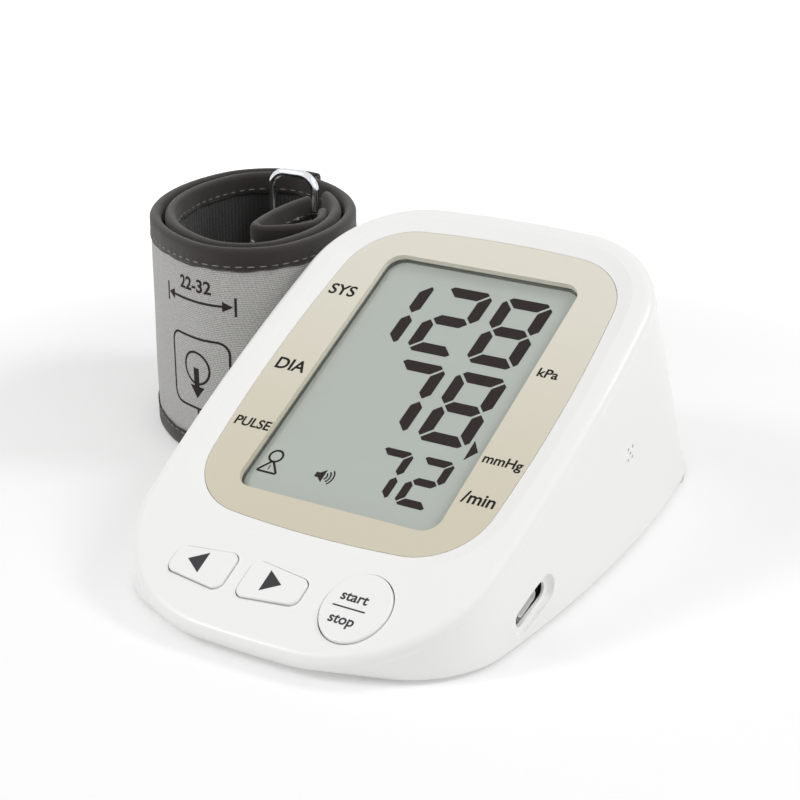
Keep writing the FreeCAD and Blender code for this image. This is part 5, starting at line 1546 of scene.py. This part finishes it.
class MONITOR_OT_stage(bpy.types.Operator):
    """Set the floor, the soft light and the camera"""

    bl_idname = "monitor.stage"
    bl_label = "Stage"

    def execute(self, context):
        stage = settings("stage_settings")
        self.floor(stage)
        self.sky(stage)
        low, high = CAD_BOX
        middle = (low + high) / 2
        for name, (place, across, watts) in LAMPS.items():
            lamp(name, middle + Vector(place), middle, across, watts)
        self.camera(stage)
        bpy.context.scene.view_settings.view_transform = "Standard"
        return {"FINISHED"}

    def camera(self, stage):
        turn, climb = math.radians(stage.azimuth), math.radians(stage.elevation)
        back = Vector((math.sin(turn) * math.cos(climb), -math.cos(turn) * math.cos(climb), math.sin(climb)))
        camera = bpy.data.cameras.new("camera")
        camera.lens = stage.lens
        camera.sensor_width = 36
        camera.clip_start = 0.02
        holder = bpy.data.objects.new("camera", camera)
        holder.location = Vector(stage.target) + back * stage.distance
        holder.rotation_euler = (-back).to_track_quat("-Z", "Y").to_euler()
        bpy.context.scene.collection.objects.link(holder)
        bpy.context.scene.camera = holder

    def floor(self, stage):
        """Pale floor that takes a soft shadow beside the object and turns white further off."""
        reach = stage.floor_reach
        mesh = bpy.data.meshes.new("floor")
        corners = [(-reach, -reach, 0), (reach, -reach, 0), (reach, reach, 0), (-reach, reach, 0)]
        mesh.from_pydata(corners, [], [(0, 1, 2, 3)])
        floor = bpy.data.objects.new("floor", mesh)
        bpy.context.scene.collection.objects.link(floor)
        made = Finish("pale_floor", roughness=0.9, specular_ior_level=0.1)
        made.set(base_color=made.shade(stage.floor, 0.99 + made.noise(made.place(), 3, 2) * 0.02))
        glow = made.nodes.new("ShaderNodeEmission")
        glow.inputs["Strength"].default_value = stage.floor_glow
        seen = 0.0
        for ray in WHITE_RAYS:
            seen = made.maths("MAXIMUM", seen, made.node("ShaderNodeLightPath", {}, {}, ray))
        blend = made.nodes.new("ShaderNodeMixShader")
        x, y, _ = made.axes(made.place())
        away = made.maths("SQRT", x * x + y * y).rise(stage.white_near, stage.white_far)
        made.feed(blend.inputs[0], seen * (stage.floor_share + away * (1 - stage.floor_share)))
        made.links.new(made.shader.outputs[0], blend.inputs[1])
        made.links.new(glow.outputs[0], blend.inputs[2])
        made.links.new(blend.outputs[0], made.nodes["Material Output"].inputs["Surface"])
        mesh.materials.append(made.material)

    def sky(self, stage):
        """Even light for the object, plain white behind it."""
        world = bpy.data.worlds.new("studio")
        world.use_nodes = True
        nodes, links = world.node_tree.nodes, world.node_tree.links
        even = nodes["Background"]
        even.inputs["Color"].default_value = (1, 1, 1, 1)
        even.inputs["Strength"].default_value = stage.sky
        white = nodes.new("ShaderNodeBackground")
        white.inputs["Color"].default_value = (1, 1, 1, 1)
        path = nodes.new("ShaderNodeLightPath")
        seen = path.outputs[WHITE_RAYS[0]]
        for ray in WHITE_RAYS[1:]:
            either = nodes.new("ShaderNodeMath")
            either.operation = "MAXIMUM"
            links.new(seen, either.inputs[0])
            links.new(path.outputs[ray], either.inputs[1])
            seen = either.outputs[0]
        blend = nodes.new("ShaderNodeMixShader")
        links.new(seen, blend.inputs[0])
        links.new(even.outputs[0], blend.inputs[1])
        links.new(white.outputs[0], blend.inputs[2])
        links.new(blend.outputs[0], nodes["World Output"].inputs["Surface"])
        bpy.context.scene.world = world


# Sidebar

STEPS = (MONITOR_OT_housing, MONITOR_OT_display, MONITOR_OT_lettering, MONITOR_OT_inner_parts,
         MONITOR_OT_door_grip, MONITOR_OT_cuff_cloth, MONITOR_OT_cuff_binding, MONITOR_OT_cuff_print,
         MONITOR_OT_ring, MONITOR_OT_stage)


class MONITOR_PT_sidebar(bpy.types.Panel):
    """Steps that dress the monitor"""

    bl_idname = "MONITOR_PT_sidebar"
    bl_label = "Blood pressure monitor"
    bl_space_type = "VIEW_3D"
    bl_region_type = "UI"
    bl_category = "Monitor"

    def draw(self, context):
        for step in STEPS:
            self.layout.operator(step.bl_idname)


GROUPS = {
    "monitor_face": MonitorFace,
    "monitor_finish": MonitorFinish,
    "cuff_sizes": CuffSizes,
    "cuff_finish": CuffFinish,
    "stage_settings": StageSettings,
}


def register():
    for group in (*GROUPS.values(), *STEPS, MONITOR_PT_sidebar):
        bpy.utils.register_class(group)
    for name, group in GROUPS.items():
        setattr(bpy.types.Scene, name, PointerProperty(type=group))


def unregister():
    for name in GROUPS:
        delattr(bpy.types.Scene, name)
    for group in reversed((*GROUPS.values(), *STEPS, MONITOR_PT_sidebar)):
        bpy.utils.unregister_class(group)


def main():
    register()
    for step in STEPS:
        family, action = step.bl_idname.split(".")
        getattr(getattr(bpy.ops, family), action)()


if __name__ == "__main__":
    main()
